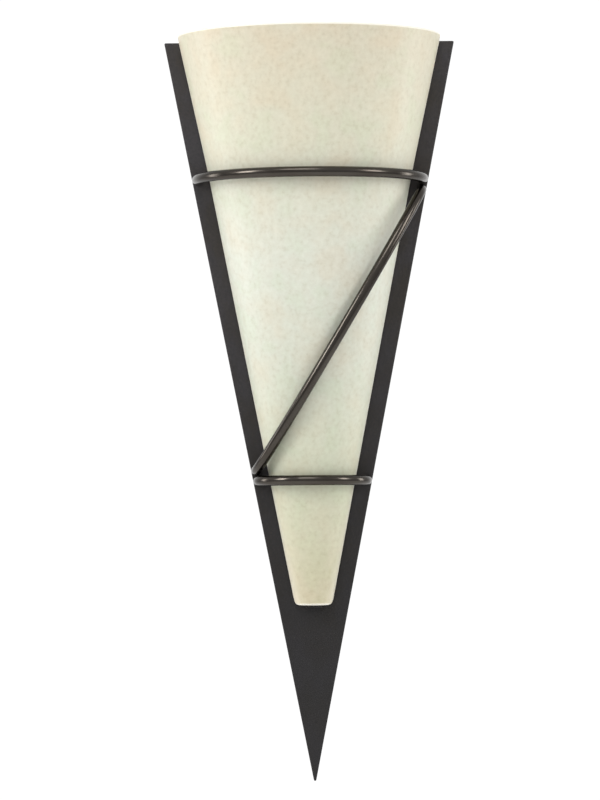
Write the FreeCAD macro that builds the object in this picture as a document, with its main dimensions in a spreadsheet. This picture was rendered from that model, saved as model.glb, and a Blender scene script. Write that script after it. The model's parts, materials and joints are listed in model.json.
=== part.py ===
"""Torch sconce: a triangular steel back plate, a half-cone glass shade held behind three
bent rods, and the lampholder, lamp, wiring and wall strap that are hidden behind them.

Millimetres. X is to the right, Y points into the wall and Z is up. The origin is the middle of
the wall strap's two fixing slots, on the wall's surface.
"""

import FreeCAD, Part
import math
import os

import Sketcher

SIZES = {
    # back plate: a triangle with its point down, folded back all round
    "plate_width": 200.0,
    "plate_height": 512.5,
    "plate_depth": 20.0,
    "plate_wall": 1.2,
    "plate_bend": 1.4,
    "plate_tip_round": 0.9,
    "wall_drop": 175.0,
    # glass shade: half an elliptical cone that flares a little above its waist; its margins are
    # how much narrower it is than the plate, on each side
    "shade_rise": 4.0,
    "shade_foot_rise": 124.5,
    "shade_top_margin": 9.3,
    "shade_waist_margin": 12.1,
    "shade_foot_margin": 11.5,
    "shade_depth": 80.5,
    "glass_wall": 4.0,
    "glass_arris": 1.2,
    "shade_foot_round": 7.0,
    "shade_ear_round": 3.0,
    # where the shade sits
    "seat_gap": 0.3,
    "pad_thickness": 1.0,
    "pad_diameter": 3.6,
    "pad_upper_drop": 30.0,
    "pad_lower_rise": 58.0,
    "ledge_width": 11.0,
    "ledge_wall": 1.2,
    "ledge_height": 9.0,
    "ledge_reach": 9.5,
    # bent rods
    "rod_diameter": 7.0,
    "rod_clearance": 0.6,
    "rod_foot_gap": 0.3,
    "upper_rod_drop": 95.0,
    "lower_rod_drop": 302.4,
    "diagonal_clearance": 0.7,
    "diagonal_tilt": 3.5,
    # wall strap: land is what is left beyond a slot, shoulder what is raised beyond a screw
    "strap_land": 5.0,
    "strap_shoulder": 7.0,
    "strap_height": 22.0,
    "strap_thickness": 1.5,
    "strap_rise": 4.0,
    "fixing_spacing": 98.0,
    "fixing_slot_length": 12.0,
    "fixing_slot_width": 5.0,
    "cable_hole_diameter": 14.0,
    # screws and nuts that hold the plate on the strap
    "stud_spacing": 60.0,
    "stud_diameter": 4.0,
    "thread_clearance": 0.05,
    "hole_clearance": 0.4,
    "head_diameter": 8.0,
    "head_height": 2.4,
    "nut_across_flats": 7.0,
    "nut_height": 3.2,
    "cap_nut_height": 4.0,
    "cap_washer_diameter": 10.0,
    "washer_thickness": 0.8,
    # lampholder bracket
    "lamp_offset": 26.0,
    "bracket_level": 46.0,
    "bracket_thickness": 1.5,
    "bracket_width": 22.0,
    "bracket_leg": 24.0,
    "bracket_lead": 11.0,
    "rivet_spacing": 12.0,
    "rivet_height": 15.0,
    "rivet_diameter": 3.2,
    "rivet_head_diameter": 6.0,
    "rivet_head_height": 1.2,
    # nipple
    "nipple_diameter": 10.0,
    "nipple_bore": 7.6,
    "nipple_below": 6.0,
    "nipple_above": 5.0,
    "nipple_nut_flats": 14.0,
    "nipple_nut_height": 3.0,
    # lampholder
    "holder_diameter": 27.0,
    "holder_base_height": 18.0,
    "holder_shell_height": 30.0,
    "holder_wall": 2.0,
    "holder_floor": 3.0,
    "holder_lip": 2.0,
    "core_gap": 0.3,
    "core_drop": 5.5,
    "core_floor": 7.0,
    "sleeve_bore": 14.1,
    "sleeve_wall": 0.4,
    "sleeve_length": 20.0,
    "contact_width": 5.0,
    "contact_wall": 0.4,
    "contact_screw_spacing": 12.0,
    "contact_screw_diameter": 2.6,
    "contact_head_diameter": 4.0,
    "contact_head_height": 1.8,
    # candle lamp
    "cap_diameter": 14.0,
    "cap_wall": 0.5,
    "cap_length": 20.5,
    "insulator_height": 2.6,
    "insulator_end": 6.0,
    "tip_diameter": 4.6,
    "tip_height": 1.2,
    "lamp_diameter": 35.0,
    "lamp_length": 74.0,
    "lamp_wall": 0.8,
    "lamp_neck": 12.4,
    "stem_diameter": 5.0,
    "stem_height": 24.0,
    "filament_wire": 0.6,
    "filament_width": 14.0,
    "filament_height": 9.0,
    # terminal block behind the plate
    "block_drop": 38.0,
    "block_width": 30.0,
    "block_height": 18.0,
    "block_depth": 14.0,
    "pole_pitch": 10.0,
    "tube_diameter": 4.4,
    "tube_bore": 3.0,
    "tube_length": 16.0,
    "clamp_screw_diameter": 3.0,
    "clamp_screw_length": 4.0,
    "clamp_screw_pitch": 9.0,
    "small_screw_diameter": 3.0,
    "small_head_diameter": 5.6,
    "small_head_height": 1.8,
    "small_nut_flats": 5.5,
    "small_nut_height": 2.4,
    # earth point
    "earth_across": 22.0,
    "earth_level": 24.0,
    "tag_length": 12.0,
    "tag_width": 7.6,
    # leads and their bush
    "lead_diameter": 2.2,
    "lead_pitch": 3.4,
    "lead_bend": 9.0,
    "grommet_level": 28.0,
    "grommet_bore": 8.0,
    "grommet_waist": 12.0,
    "grommet_flange": 16.0,
    "grommet_lip": 1.5,
}

FORMULAS = {
    # planes of the back plate
    "face": "=-Sizes.plate_depth",
    "inside": "=-(Sizes.plate_depth - Sizes.plate_wall)",
    "plate_top": "=Sizes.wall_drop",
    "plate_tip": "=plate_top - Sizes.plate_height",
    "edge_slope": "=Sizes.plate_width / 2 / Sizes.plate_height",
    "edge_angle": "=atan(edge_slope)",
    # shade
    "shade_back": "=face - Sizes.pad_thickness - Sizes.seat_gap",
    "shade_top": "=plate_top + Sizes.shade_rise",
    "shade_bottom": "=plate_tip + Sizes.shade_foot_rise",
    "upper_level": "=plate_top - Sizes.upper_rod_drop",
    "waist_level": "=upper_level + Sizes.rod_diameter",
    "top_half": "=Sizes.plate_width / 2 - Sizes.shade_top_margin",
    "waist_half": "=(waist_level - plate_tip) * edge_slope - Sizes.shade_waist_margin",
    "foot_half": "=Sizes.shade_foot_rise * edge_slope - Sizes.shade_foot_margin",
    "shade_flare": "=(top_half - waist_half) / (shade_top - waist_level)",
    "shade_slope": "=(waist_half - foot_half) / (waist_level - shade_bottom)",
    "depth_share": "=Sizes.shade_depth / top_half",
    "shade_lean": "=atan(shade_slope * depth_share)",
    "shade_apex": "=shade_bottom - foot_half / shade_slope",
    "pad_level": "=plate_top - Sizes.pad_upper_drop",
    # rods
    "rod_radius": "=Sizes.rod_diameter / 2",
    "rod_inset": "=rod_radius / cos(edge_angle)",
    "rod_stand": "=face - shade_back + (rod_radius + Sizes.rod_clearance) / cos(shade_lean)",
    "upper_reach": "=(upper_level - plate_tip) * edge_slope - rod_inset",
    "upper_arch": "=(upper_level - shade_apex) * shade_slope * depth_share + rod_stand",
    "lower_level": "=plate_top - Sizes.lower_rod_drop",
    "lower_reach": "=(lower_level - plate_tip) * edge_slope - rod_inset",
    "lower_arch": "=(lower_level - shade_apex) * shade_slope * depth_share + rod_stand",
    "high_foot_level": "=upper_level - Sizes.rod_diameter - Sizes.rod_foot_gap",
    "high_foot_reach": "=(high_foot_level - plate_tip) * edge_slope - rod_inset",
    "low_foot_level": "=lower_level + Sizes.rod_diameter + Sizes.rod_foot_gap",
    "low_foot_reach": "=(low_foot_level - plate_tip) * edge_slope - rod_inset",
    "chord_across": "=high_foot_reach + low_foot_reach",
    "chord_up": "=high_foot_level - low_foot_level",
    "chord_half": "=sqrt(chord_across ^ 2 + chord_up ^ 2) / 2",
    "chord_turn": "=-atan(chord_up / chord_across)",
    "chord_x": "=(high_foot_reach - low_foot_reach) / 2",
    "chord_z": "=(high_foot_level + low_foot_level) / 2",
    "chord_shade": "=(chord_z - shade_apex) * shade_slope",
    "chord_arch": "=sqrt(chord_shade ^ 2 - chord_x ^ 2) * depth_share + rod_stand"
                  " + Sizes.diagonal_clearance",
    # strap and its screws
    "strap_half": "=(Sizes.fixing_spacing + Sizes.fixing_slot_length) / 2 + Sizes.strap_land",
    "raised_half": "=Sizes.stud_spacing / 2 + Sizes.strap_shoulder",
    "strap_front": "=-(Sizes.strap_rise + Sizes.strap_thickness)",
    "mitre": "=Sizes.strap_thickness * tan(22.5)",
    "washer_front": "=face - Sizes.washer_thickness",
    "dome_radius": "=Sizes.nut_across_flats * 0.48",
    "stud_end": "=Sizes.cap_nut_height + dome_radius * 0.4",
    # lampholder, from the bracket up
    "lamp_y": "=face - Sizes.lamp_offset",
    "seat": "=Sizes.bracket_level + Sizes.bracket_thickness",
    "base_top": "=seat + Sizes.holder_base_height",
    "rim": "=base_top + Sizes.holder_shell_height",
    "cavity_diameter": "=Sizes.holder_diameter - 2 * Sizes.holder_wall",
    "core_diameter": "=cavity_diameter - 2 * Sizes.core_gap",
    "core_bottom": "=base_top - Sizes.core_drop",
    "core_top": "=rim - Sizes.holder_lip",
    "well_floor": "=core_bottom + Sizes.core_floor",
    "sleeve_diameter": "=Sizes.sleeve_bore + 2 * Sizes.sleeve_wall",
    "sleeve_bottom": "=core_top - Sizes.sleeve_length",
    "mouth_diameter": "=sleeve_diameter + 0.2",
    # lamp, hanging from the rim down into the holder
    "cap_bottom": "=rim - Sizes.cap_length",
    "insulator_bottom": "=cap_bottom - Sizes.insulator_height",
    "tip_bottom": "=insulator_bottom - Sizes.tip_height",
    # terminal block
    "block_top": "=-Sizes.block_drop + Sizes.block_height / 2",
    "block_bottom": "=-Sizes.block_drop - Sizes.block_height / 2",
    "block_back": "=inside + Sizes.block_depth",
    "pole_y": "=inside + Sizes.block_depth / 2",
    "block_screw_x": "=-Sizes.pole_pitch / 2",
}


# ---------------------------------------------------------------- sheets and bindings


def fill_sheet(doc, name, cells):
    """Write each cell's name in column A and its value or formula, with an alias, in column B."""
    sheet = doc.addObject("Spreadsheet::Sheet", name)
    for row, (alias, value) in enumerate(cells.items(), start=1):
        sheet.set(f"A{row}", alias)
        sheet.set(f"B{row}", str(value))
        sheet.setAlias(f"B{row}", alias)
    return sheet


def bind(item, expressions):
    """Bind properties of item, named by their paths, to expressions."""
    for path, expression in expressions.items():
        item.setExpression(path, str(expression))
    return item


def put(item, x="0", y="0", z="0"):
    """Bind where item stands."""
    return bind(item, {"Placement.Base.x": x, "Placement.Base.y": y, "Placement.Base.z": z})


def value(doc, expression):
    """The number that an expression on the sheets has now."""
    result = doc.Sizes.evalExpression(str(expression))
    return float(getattr(result, "Value", result))


UP = FreeCAD.Rotation()
FORWARD = FreeCAD.Rotation(FreeCAD.Vector(1, 0, 0), 90)
BACKWARD = FreeCAD.Rotation(FreeCAD.Vector(1, 0, 0), -90)


# ---------------------------------------------------------------- simple solids


def cylinder(doc, name, diameter, height, x="0", y="0", z="0", turn=UP):
    """A cylinder from (x, y, z), along Z, or along the way that turn points it."""
    item = doc.addObject("Part::Cylinder", name)
    item.Placement.Rotation = turn
    bind(item, {"Radius": f"({diameter}) / 2", "Height": height})
    return put(item, x, y, z)


def cone(doc, name, low, high, height, x="0", y="0", z="0", turn=UP):
    """A cone or a frustum with its low and high diameters."""
    item = doc.addObject("Part::Cone", name)
    item.Placement.Rotation = turn
    bind(item, {"Radius1": f"({low}) / 2", "Radius2": f"({high}) / 2", "Height": height})
    return put(item, x, y, z)


def hexagon(doc, name, flats, height, x="0", y="0", z="0", turn=UP):
    """A hexagonal prism, its size given across its flats."""
    item = doc.addObject("Part::Prism", name)
    item.Polygon = 6
    item.Placement.Rotation = turn
    bind(item, {"Circumradius": f"({flats}) / 2 / cos(30)", "Height": height})
    return put(item, x, y, z)


def block(doc, name, length, width, height, x="0", y="0", z="0"):
    """A box from its low corner."""
    item = doc.addObject("Part::Box", name)
    bind(item, {"Length": length, "Width": width, "Height": height})
    return put(item, x, y, z)


def cut(doc, name, base, tools):
    """Base with every tool taken out of it."""
    item = doc.addObject("Part::Cut", name)
    item.Base = base
    item.Tool = tools[0] if len(tools) == 1 else fuse(doc, f"{name}_tools", tools)
    return item


def fuse(doc, name, items):
    """One solid of all the items."""
    item = doc.addObject("Part::MultiFuse", name)
    item.Shapes = items
    return item


def group(doc, name, items):
    """A sub-part of separate solids that are alike."""
    item = doc.addObject("Part::Compound", name)
    item.Links = items
    return item


def ring(doc, name, outer, bore, height, x="0", y="0", z="0", turn=UP):
    """A cylinder with a bore right through it."""
    body = cylinder(doc, f"{name}_body", outer, height, x, y, z, turn)
    hole = cylinder(doc, f"{name}_bore", bore, height, x, y, z, turn)
    return cut(doc, name, body, [hole])


def nut(doc, name, flats, bore, height, x="0", y="0", z="0", turn=UP):
    """A hexagonal nut."""
    body = hexagon(doc, f"{name}_body", flats, height, x, y, z, turn)
    hole = cylinder(doc, f"{name}_bore", bore, height, x, y, z, turn)
    return cut(doc, name, body, [hole])


# ---------------------------------------------------------------- sketched bodies


def new_body(doc, name):
    """An empty body for a sketched sub-part."""
    return doc.addObject("PartDesign::Body", name)


def new_sketch(body, name, role):
    """A sketch on one of the body's own origin planes."""
    sketch = body.newObject("Sketcher::SketchObject", name)
    plane = next(item for item in body.Origin.OriginFeatures if item.Role == role)
    sketch.AttachmentSupport = (plane, "")
    sketch.MapMode = "FlatFace"
    return sketch


def fix_point(sketch, edge, point, across, up):
    """Hold one point of an edge at a place given by two expressions."""
    for kind, expression in (("DistanceX", across), ("DistanceY", up)):
        now = value(sketch.Document, expression)
        number = sketch.addConstraint(Sketcher.Constraint(kind, -1, 1, edge, point, now))
        sketch.setExpression(f"Constraints[{number}]", str(expression))


def draw_polygon(sketch, corners):
    """A closed outline through corners given by expressions."""
    places = [
        FreeCAD.Vector(value(sketch.Document, across), value(sketch.Document, up), 0)
        for across, up in corners
    ]
    first = sketch.GeometryCount
    count = len(corners)
    for index, place in enumerate(places):
        sketch.addGeometry(Part.LineSegment(place, places[(index + 1) % count]), False)
    for index, (across, up) in enumerate(corners):
        following = first + (index + 1) % count
        sketch.addConstraint(Sketcher.Constraint("Coincident", first + index, 2, following, 1))
        fix_point(sketch, first + index, 1, across, up)


def draw_circle(sketch, diameter, across, up):
    """A circle whose size and centre are expressions."""
    doc = sketch.Document
    centre = FreeCAD.Vector(value(doc, across), value(doc, up), 0)
    radius = value(doc, diameter) / 2
    edge = sketch.GeometryCount
    sketch.addGeometry(Part.Circle(centre, FreeCAD.Vector(0, 0, 1), radius), False)
    fix_point(sketch, edge, 3, across, up)
    number = sketch.addConstraint(Sketcher.Constraint("Diameter", edge, 2 * radius))
    sketch.setExpression(f"Constraints[{number}]", str(diameter))


def pad(body, name, sketch, length, both_ways=False):
    """Thicken a sketch, forwards, or half each way."""
    item = body.newObject("PartDesign::Pad", name)
    item.Profile = sketch
    item.Midplane = both_ways
    return bind(item, {"Length": length})


def pocket(body, name, sketch, length=None, reverse=False):
    """Cut a sketch to a depth, or right through both ways."""
    body.Document.recompute()
    before = body.Shape.Volume
    item = body.newObject("PartDesign::Pocket", name)
    item.Profile = sketch
    item.Reversed = reverse
    if length is None:
        item.Type = "ThroughAll"
        item.Midplane = True
    else:
        bind(item, {"Length": length})
    body.Document.recompute()
    if not body.Shape.Volume < before * 0.9999:
        raise ValueError(f"{body.Name}: {name} cuts nothing")
    return item


def round_edges(body, name, radius, chosen):
    """Round the edges of the body's newest feature that the test picks."""
    body.Document.recompute()
    base = body.Tip
    names = [
        f"Edge{number}" for number, edge in enumerate(base.Shape.Edges, start=1) if chosen(edge)
    ]
    item = body.newObject("PartDesign::Fillet", name)
    item.Base = (base, names)
    return bind(item, {"Radius": radius})


def is_along(edge, direction):
    """Whether an edge is a straight one, parallel to direction."""
    if not isinstance(edge.Curve, Part.Line):
        return False
    return abs(abs(edge.tangentAt(edge.FirstParameter).dot(direction)) - 1) < 1e-6


# ---------------------------------------------------------------- the plate and its rods


def make_back_plate(doc):
    """Triangular tray: face forward, edges folded back to the wall."""
    body = new_body(doc, "back_plate")
    outline = new_sketch(body, "plate_outline", "XZ_Plane")
    half = "Sizes.plate_width / 2"
    draw_polygon(outline, [
        (f"-{half}", "Derived.plate_top"),
        ("0", "Derived.plate_tip"),
        (half, "Derived.plate_top"),
    ])
    pad(body, "plate_block", outline, "Sizes.plate_depth")
    doc.recompute()
    tip = value(doc, "Derived.plate_tip")
    back = FreeCAD.Vector(0, 1, 0)
    round_edges(body, "plate_tip_rounding", "Sizes.plate_tip_round",
                lambda edge: is_along(edge, back) and abs(edge.CenterOfMass.z - tip) < 1)
    round_edges(body, "plate_corner_rounding", "Sizes.plate_tip_round",
                lambda edge: is_along(edge, back) and edge.CenterOfMass.z > 0)
    face = value(doc, "Derived.face")
    round_edges(body, "plate_bends", "Sizes.plate_bend * 0.6",
                lambda edge: abs(edge.CenterOfMass.y - face) < 1e-6)
    hollow = new_sketch(body, "plate_hollow", "XZ_Plane")
    side = "(Sizes.plate_wall / cos(Derived.edge_angle))"
    inner_top = "(Derived.plate_top - Sizes.plate_wall)"
    inner_half = f"({inner_top} - Derived.plate_tip) * Derived.edge_slope - {side}"
    inner_tip = f"Derived.plate_tip + {side} / Derived.edge_slope"
    draw_polygon(hollow, [
        (f"-({inner_half})", inner_top),
        ("0", inner_tip),
        (inner_half, inner_top),
    ])
    pocket(body, "plate_tray", hollow, "Sizes.plate_depth - Sizes.plate_wall", reverse=True)
    holes = new_sketch(body, "plate_holes", "XZ_Plane")
    stud_hole = "Sizes.stud_diameter + Sizes.hole_clearance"
    small_hole = "Sizes.small_screw_diameter + Sizes.hole_clearance"
    rivet_level = "Sizes.bracket_level + Sizes.rivet_height"
    for side in (-1, 1):
        draw_circle(holes, stud_hole, f"{side} * Sizes.stud_spacing / 2", "0")
        draw_circle(holes, "Sizes.rivet_diameter", f"{side} * Sizes.rivet_spacing / 2", rivet_level)
    draw_circle(holes, "Sizes.grommet_waist", "0", "Sizes.grommet_level")
    draw_circle(holes, stud_hole, "Sizes.earth_across", "Sizes.earth_level")
    draw_circle(holes, small_hole, "Derived.block_screw_x", "-Sizes.block_drop")
    pocket(body, "plate_drilling", holes)
    return body


def make_rod(doc, name, reach, rise, tilt="0"):
    """Round bar bent to half an ellipse that springs from the plate at x = -reach and +reach."""
    flat = f"({reach}) >= ({rise})"
    spine = doc.addObject("Part::Ellipse", f"{name}_line")
    bind(spine, {
        "MajorRadius": f"max({reach}; {rise})",
        "MinorRadius": f"min({reach}; {rise})",
        "Angle1": f"{flat} ? 180 : 90",
        "Angle2": f"{flat} ? 360 : 270",
    })
    if tilt == "0":
        bind(spine, {"Placement.Rotation.Angle": f"{flat} ? 0 : 90"})
    else:
        spine.Placement.Rotation = FORWARD
        bind(spine, {"Placement.Rotation.Angle": tilt})
    section = doc.addObject("Part::Circle", f"{name}_section")
    section.Placement.Rotation = FORWARD
    bind(section, {"Radius": "Derived.rod_radius", "Placement.Rotation.Angle": f"90 + {tilt}"})
    put(section, x=f"-({reach})")
    rod = doc.addObject("Part::Sweep", name)
    rod.Sections = [section]
    rod.Spine = (spine, ["Edge1"])
    rod.Solid = True
    return rod


def make_level_rods(doc):
    """The two rods that lie level across the shade."""
    upper = make_rod(doc, "upper_rod", "Derived.upper_reach", "Derived.upper_arch")
    put(upper, y="Derived.face", z="Derived.upper_level")
    lower = make_rod(doc, "lower_rod", "Derived.lower_reach", "Derived.lower_arch")
    put(lower, y="Derived.face", z="Derived.lower_level")
    return [upper, lower]


def make_diagonal_rod(doc):
    """The rod from under the upper rod's right foot to above the lower rod's left foot."""
    rod = make_rod(doc, "diagonal_rod", "Derived.chord_half", "Derived.chord_arch",
                   "Sizes.diagonal_tilt")
    rod.Placement.Rotation = FreeCAD.Rotation(FreeCAD.Vector(0, 1, 0), 45)
    bind(rod, {"Placement.Rotation.Angle": "Derived.chord_turn"})
    return put(rod, "Derived.chord_x", "Derived.face - Derived.rod_radius * sin(Sizes.diagonal_tilt)",
               "Derived.chord_z")


# ---------------------------------------------------------------- the shade and its seat


def make_frustum(doc, name, wall, overrun):
    """Whole elliptical frustum, wall inside the shade's outer face, longer by overrun each way."""
    rings = []
    for end, half, level in (
        ("foot", f"(Derived.foot_half - {overrun} * Derived.shade_slope)",
         f"Derived.shade_bottom - {overrun}"),
        ("waist", "Derived.waist_half", "Derived.waist_level"),
        ("top", f"(Derived.top_half + {overrun} * Derived.shade_flare)",
         f"Derived.shade_top + {overrun}"),
    ):
        across = f"({half} - {wall})"
        deep = f"({half} * Derived.depth_share - {wall})"
        oval = doc.addObject("Part::Ellipse", f"{name}_{end}")
        bind(oval, {
            "MajorRadius": f"max({across}; {deep})",
            "MinorRadius": f"min({across}; {deep})",
            "Placement.Rotation.Angle": f"{across} >= {deep} ? 0 : 90",
        })
        rings.append(put(oval, y="Derived.shade_back", z=level))
    solid = doc.addObject("Part::Loft", name)
    solid.Sections = rings
    solid.Solid = True
    solid.Ruled = True
    return solid


def make_glass_shade(doc):
    """Half a hollow frustum, open at its top, foot and back, with rounded corners at its back."""
    outer = make_frustum(doc, "shade_outside", "0", "Sizes.glass_wall")
    inner = make_frustum(doc, "shade_inside", "Sizes.glass_wall", "Sizes.glass_wall * 1.5")
    shell = cut(doc, "shade_shell", outer, [inner])
    limits = new_body(doc, "shade_limits")
    side_view = new_sketch(limits, "shade_side_view", "YZ_Plane")
    front = "Derived.shade_back - Sizes.shade_depth - Sizes.glass_wall"
    draw_polygon(side_view, [
        ("Derived.shade_back", "Derived.shade_bottom"),
        (front, "Derived.shade_bottom"),
        (front, "Derived.shade_top"),
        ("Derived.shade_back", "Derived.shade_top"),
    ])
    pad(limits, "shade_limits_block", side_view, "Sizes.plate_width * 1.2", both_ways=True)
    doc.recompute()
    across = FreeCAD.Vector(1, 0, 0)
    back = value(doc, "Derived.shade_back")
    for name, radius, level in (
        ("shade_foot_rounding", "Sizes.shade_foot_round", "Derived.shade_bottom"),
        ("shade_ear_rounding", "Sizes.shade_ear_round", "Derived.shade_top"),
    ):
        height = value(doc, level)
        round_edges(limits, name, radius, lambda edge: is_along(edge, across)
                    and abs(edge.CenterOfMass.z - height) < 1e-6
                    and abs(edge.CenterOfMass.y - back) < 1e-6)
    half = doc.addObject("Part::Common", "shade_half")
    half.Base = shell
    half.Tool = limits
    doc.recompute()
    top = value(doc, "Derived.shade_top")
    arris = value(doc, "Sizes.glass_arris")
    shade = doc.addObject("Part::Fillet", "glass_shade")
    shade.Base = half
    shade.Edges = [
        (number, arris, arris)
        for number, edge in enumerate(half.Shape.Edges, start=1)
        if edge.BoundBox.ZMin > top - 1e-3 and edge.Length > 2 * value(doc, "Sizes.glass_wall")
    ]
    return shade


def make_shade_ledge(doc):
    """Folded lip on the plate, under the shade's lower edge and inside it."""
    body = new_body(doc, "shade_ledge")
    section = new_sketch(body, "ledge_section", "YZ_Plane")
    lip_top = "Derived.shade_bottom - Sizes.seat_gap"
    lip_bottom = f"{lip_top} - Sizes.ledge_wall"
    draw_polygon(section, [
        ("Derived.face", lip_bottom),
        ("Derived.face - Sizes.ledge_reach", lip_bottom),
        ("Derived.face - Sizes.ledge_reach", lip_top),
        ("Derived.face - Sizes.ledge_wall", lip_top),
        ("Derived.face - Sizes.ledge_wall", f"{lip_bottom} + Sizes.ledge_height"),
        ("Derived.face", f"{lip_bottom} + Sizes.ledge_height"),
    ])
    pad(body, "ledge_sheet", section, "Sizes.ledge_width", both_ways=True)
    return body


def make_shade_pads(doc):
    """Clear discs on the plate, under the middle of the glass's back edges."""
    pads = []
    for name, level, half in (
        ("upper", "Derived.pad_level",
         "Derived.top_half - (Derived.shade_top - Derived.pad_level) * Derived.shade_flare"),
        ("lower", "(Derived.shade_bottom + Sizes.pad_lower_rise)",
         "Derived.foot_half + Sizes.pad_lower_rise * Derived.shade_slope"),
    ):
        across = f"({half} - Sizes.glass_wall / 2)"
        for side in (-1, 1):
            pads.append(cylinder(doc, f"pad_{name}_{'left' if side < 0 else 'right'}",
                                 "Sizes.pad_diameter", "Sizes.pad_thickness",
                                 f"{side} * {across}", "Derived.face", level, FORWARD))
    return group(doc, "shade_pads", pads)


# ---------------------------------------------------------------- the wall strap


def make_wall_strap(doc):
    """Flat strap with its middle raised off the wall, slotted at both ends."""
    body = new_body(doc, "wall_strap")
    profile = new_sketch(body, "strap_profile", "XY_Plane")
    end = "Derived.strap_half"
    top = "Derived.raised_half"
    foot = f"{top} + Sizes.strap_rise"
    half = [
        (end, "0"),
        (end, "-Sizes.strap_thickness"),
        (f"{foot} + Derived.mitre", "-Sizes.strap_thickness"),
        (f"{top} + Derived.mitre", "Derived.strap_front"),
    ]
    back = [(top, "-Sizes.strap_rise"), (foot, "0")]
    mirrored = [(f"-({across})", up) for across, up in reversed(half)]
    mirrored_back = [(f"-({across})", up) for across, up in reversed(back)]
    draw_polygon(profile, half + mirrored + mirrored_back + back)
    pad(body, "strap_sheet", profile, "Sizes.strap_height", both_ways=True)
    doc.recompute()
    holes = new_sketch(body, "strap_holes", "XZ_Plane")
    draw_circle(holes, "Sizes.cable_hole_diameter", "0", "0")
    for side in (-1, 1):
        draw_circle(holes, "Sizes.stud_diameter + Sizes.hole_clearance",
                    f"{side} * Sizes.stud_spacing / 2", "0")
    pocket(body, "strap_drilling", holes)
    for side, name in ((-1, "left"), (1, "right")):
        slots = []
        middle = f"{side} * Sizes.fixing_spacing / 2"
        straight = "(Sizes.fixing_slot_length - Sizes.fixing_slot_width) / 2"
        for end_side in (-1, 1):
            slots.append(f"{middle} + {end_side} * {straight}")
        slot = new_sketch(body, f"strap_slot_{name}", "XZ_Plane")
        radius = "Sizes.fixing_slot_width / 2"
        draw_polygon(slot, [
            (slots[0], f"-{radius}"),
            (slots[1], f"-{radius}"),
            (slots[1], radius),
            (slots[0], radius),
        ])
        pocket(body, f"strap_slot_{name}_middle", slot)
        for number, across in enumerate(slots):
            end_hole = new_sketch(body, f"strap_slot_{name}_end_{number}", "XZ_Plane")
            draw_circle(end_hole, "Sizes.fixing_slot_width", across, "0")
            pocket(body, f"strap_slot_{name}_round_{number}", end_hole)
    return body


def make_strap_fasteners(doc):
    """The screws through the strap, the nuts that lock them, and the plate's washers and nuts."""
    screws, nuts, washers, caps = [], [], [], []
    bore = "Sizes.stud_diameter + 2 * Sizes.thread_clearance"
    for side, name in ((-1, "left"), (1, "right")):
        x = f"{side} * Sizes.stud_spacing / 2"
        shank = cylinder(doc, f"stud_{name}_shank", "Sizes.stud_diameter",
                         "Sizes.plate_depth + Sizes.washer_thickness + Derived.stud_end"
                         " - Sizes.strap_rise",
                         x, "-Sizes.strap_rise", "0", FORWARD)
        head = cylinder(doc, f"stud_{name}_head", "Sizes.head_diameter", "Sizes.head_height",
                        x, "-Sizes.strap_rise", "0", BACKWARD)
        screws.append(fuse(doc, f"stud_{name}", [shank, head]))
        nuts.append(nut(doc, f"strap_nut_{name}", "Sizes.nut_across_flats", bore,
                        "Sizes.nut_height", x, "Derived.strap_front", "0", FORWARD))
        washers.append(ring(doc, f"cap_washer_{name}", "Sizes.cap_washer_diameter", bore,
                            "Sizes.washer_thickness", x, "Derived.face", "0", FORWARD))
        caps.append(make_cap_nut(doc, f"cap_nut_{name}", x, bore))
    return [
        group(doc, "strap_screws", screws),
        group(doc, "strap_nuts", nuts),
        group(doc, "cap_washers", washers),
        group(doc, "cap_nuts", caps),
    ]


def make_cap_nut(doc, name, x, bore):
    """Domed nut with a blind bore."""
    flats = hexagon(doc, f"{name}_flats", "Sizes.nut_across_flats", "Sizes.cap_nut_height",
                    x, "Derived.washer_front", "0", FORWARD)
    dome = doc.addObject("Part::Sphere", f"{name}_dome")
    bind(dome, {"Radius": "Derived.dome_radius"})
    put(dome, x, "Derived.washer_front - Sizes.cap_nut_height", "0")
    hole = cylinder(doc, f"{name}_bore", bore, "Derived.stud_end + Sizes.seat_gap",
                    x, "Derived.washer_front", "0", FORWARD)
    return cut(doc, name, fuse(doc, f"{name}_body", [flats, dome]), [hole])


# ---------------------------------------------------------------- the lampholder


def make_holder_bracket(doc):
    """Angle bracket: leg against the plate, shelf forward under the lampholder."""
    body = new_body(doc, "holder_bracket")
    section = new_sketch(body, "bracket_section", "YZ_Plane")
    shelf_front = "Derived.lamp_y - Sizes.bracket_lead"
    leg_top = "Sizes.bracket_level + Sizes.bracket_leg"
    draw_polygon(section, [
        ("Derived.face", "Sizes.bracket_level"),
        (shelf_front, "Sizes.bracket_level"),
        (shelf_front, "Derived.seat"),
        ("Derived.face - Sizes.bracket_thickness", "Derived.seat"),
        ("Derived.face - Sizes.bracket_thickness", leg_top),
        ("Derived.face", leg_top),
    ])
    pad(body, "bracket_sheet", section, "Sizes.bracket_width", both_ways=True)
    doc.recompute()
    shelf_hole = new_sketch(body, "bracket_nipple_hole", "XY_Plane")
    draw_circle(shelf_hole, "Sizes.nipple_diameter + Sizes.hole_clearance", "0", "Derived.lamp_y")
    pocket(body, "bracket_boring", shelf_hole)
    leg_holes = new_sketch(body, "bracket_rivet_holes", "XZ_Plane")
    for side in (-1, 1):
        draw_circle(leg_holes, "Sizes.rivet_diameter", f"{side} * Sizes.rivet_spacing / 2",
                    "Sizes.bracket_level + Sizes.rivet_height")
    pocket(body, "bracket_drilling", leg_holes)
    return body


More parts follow.
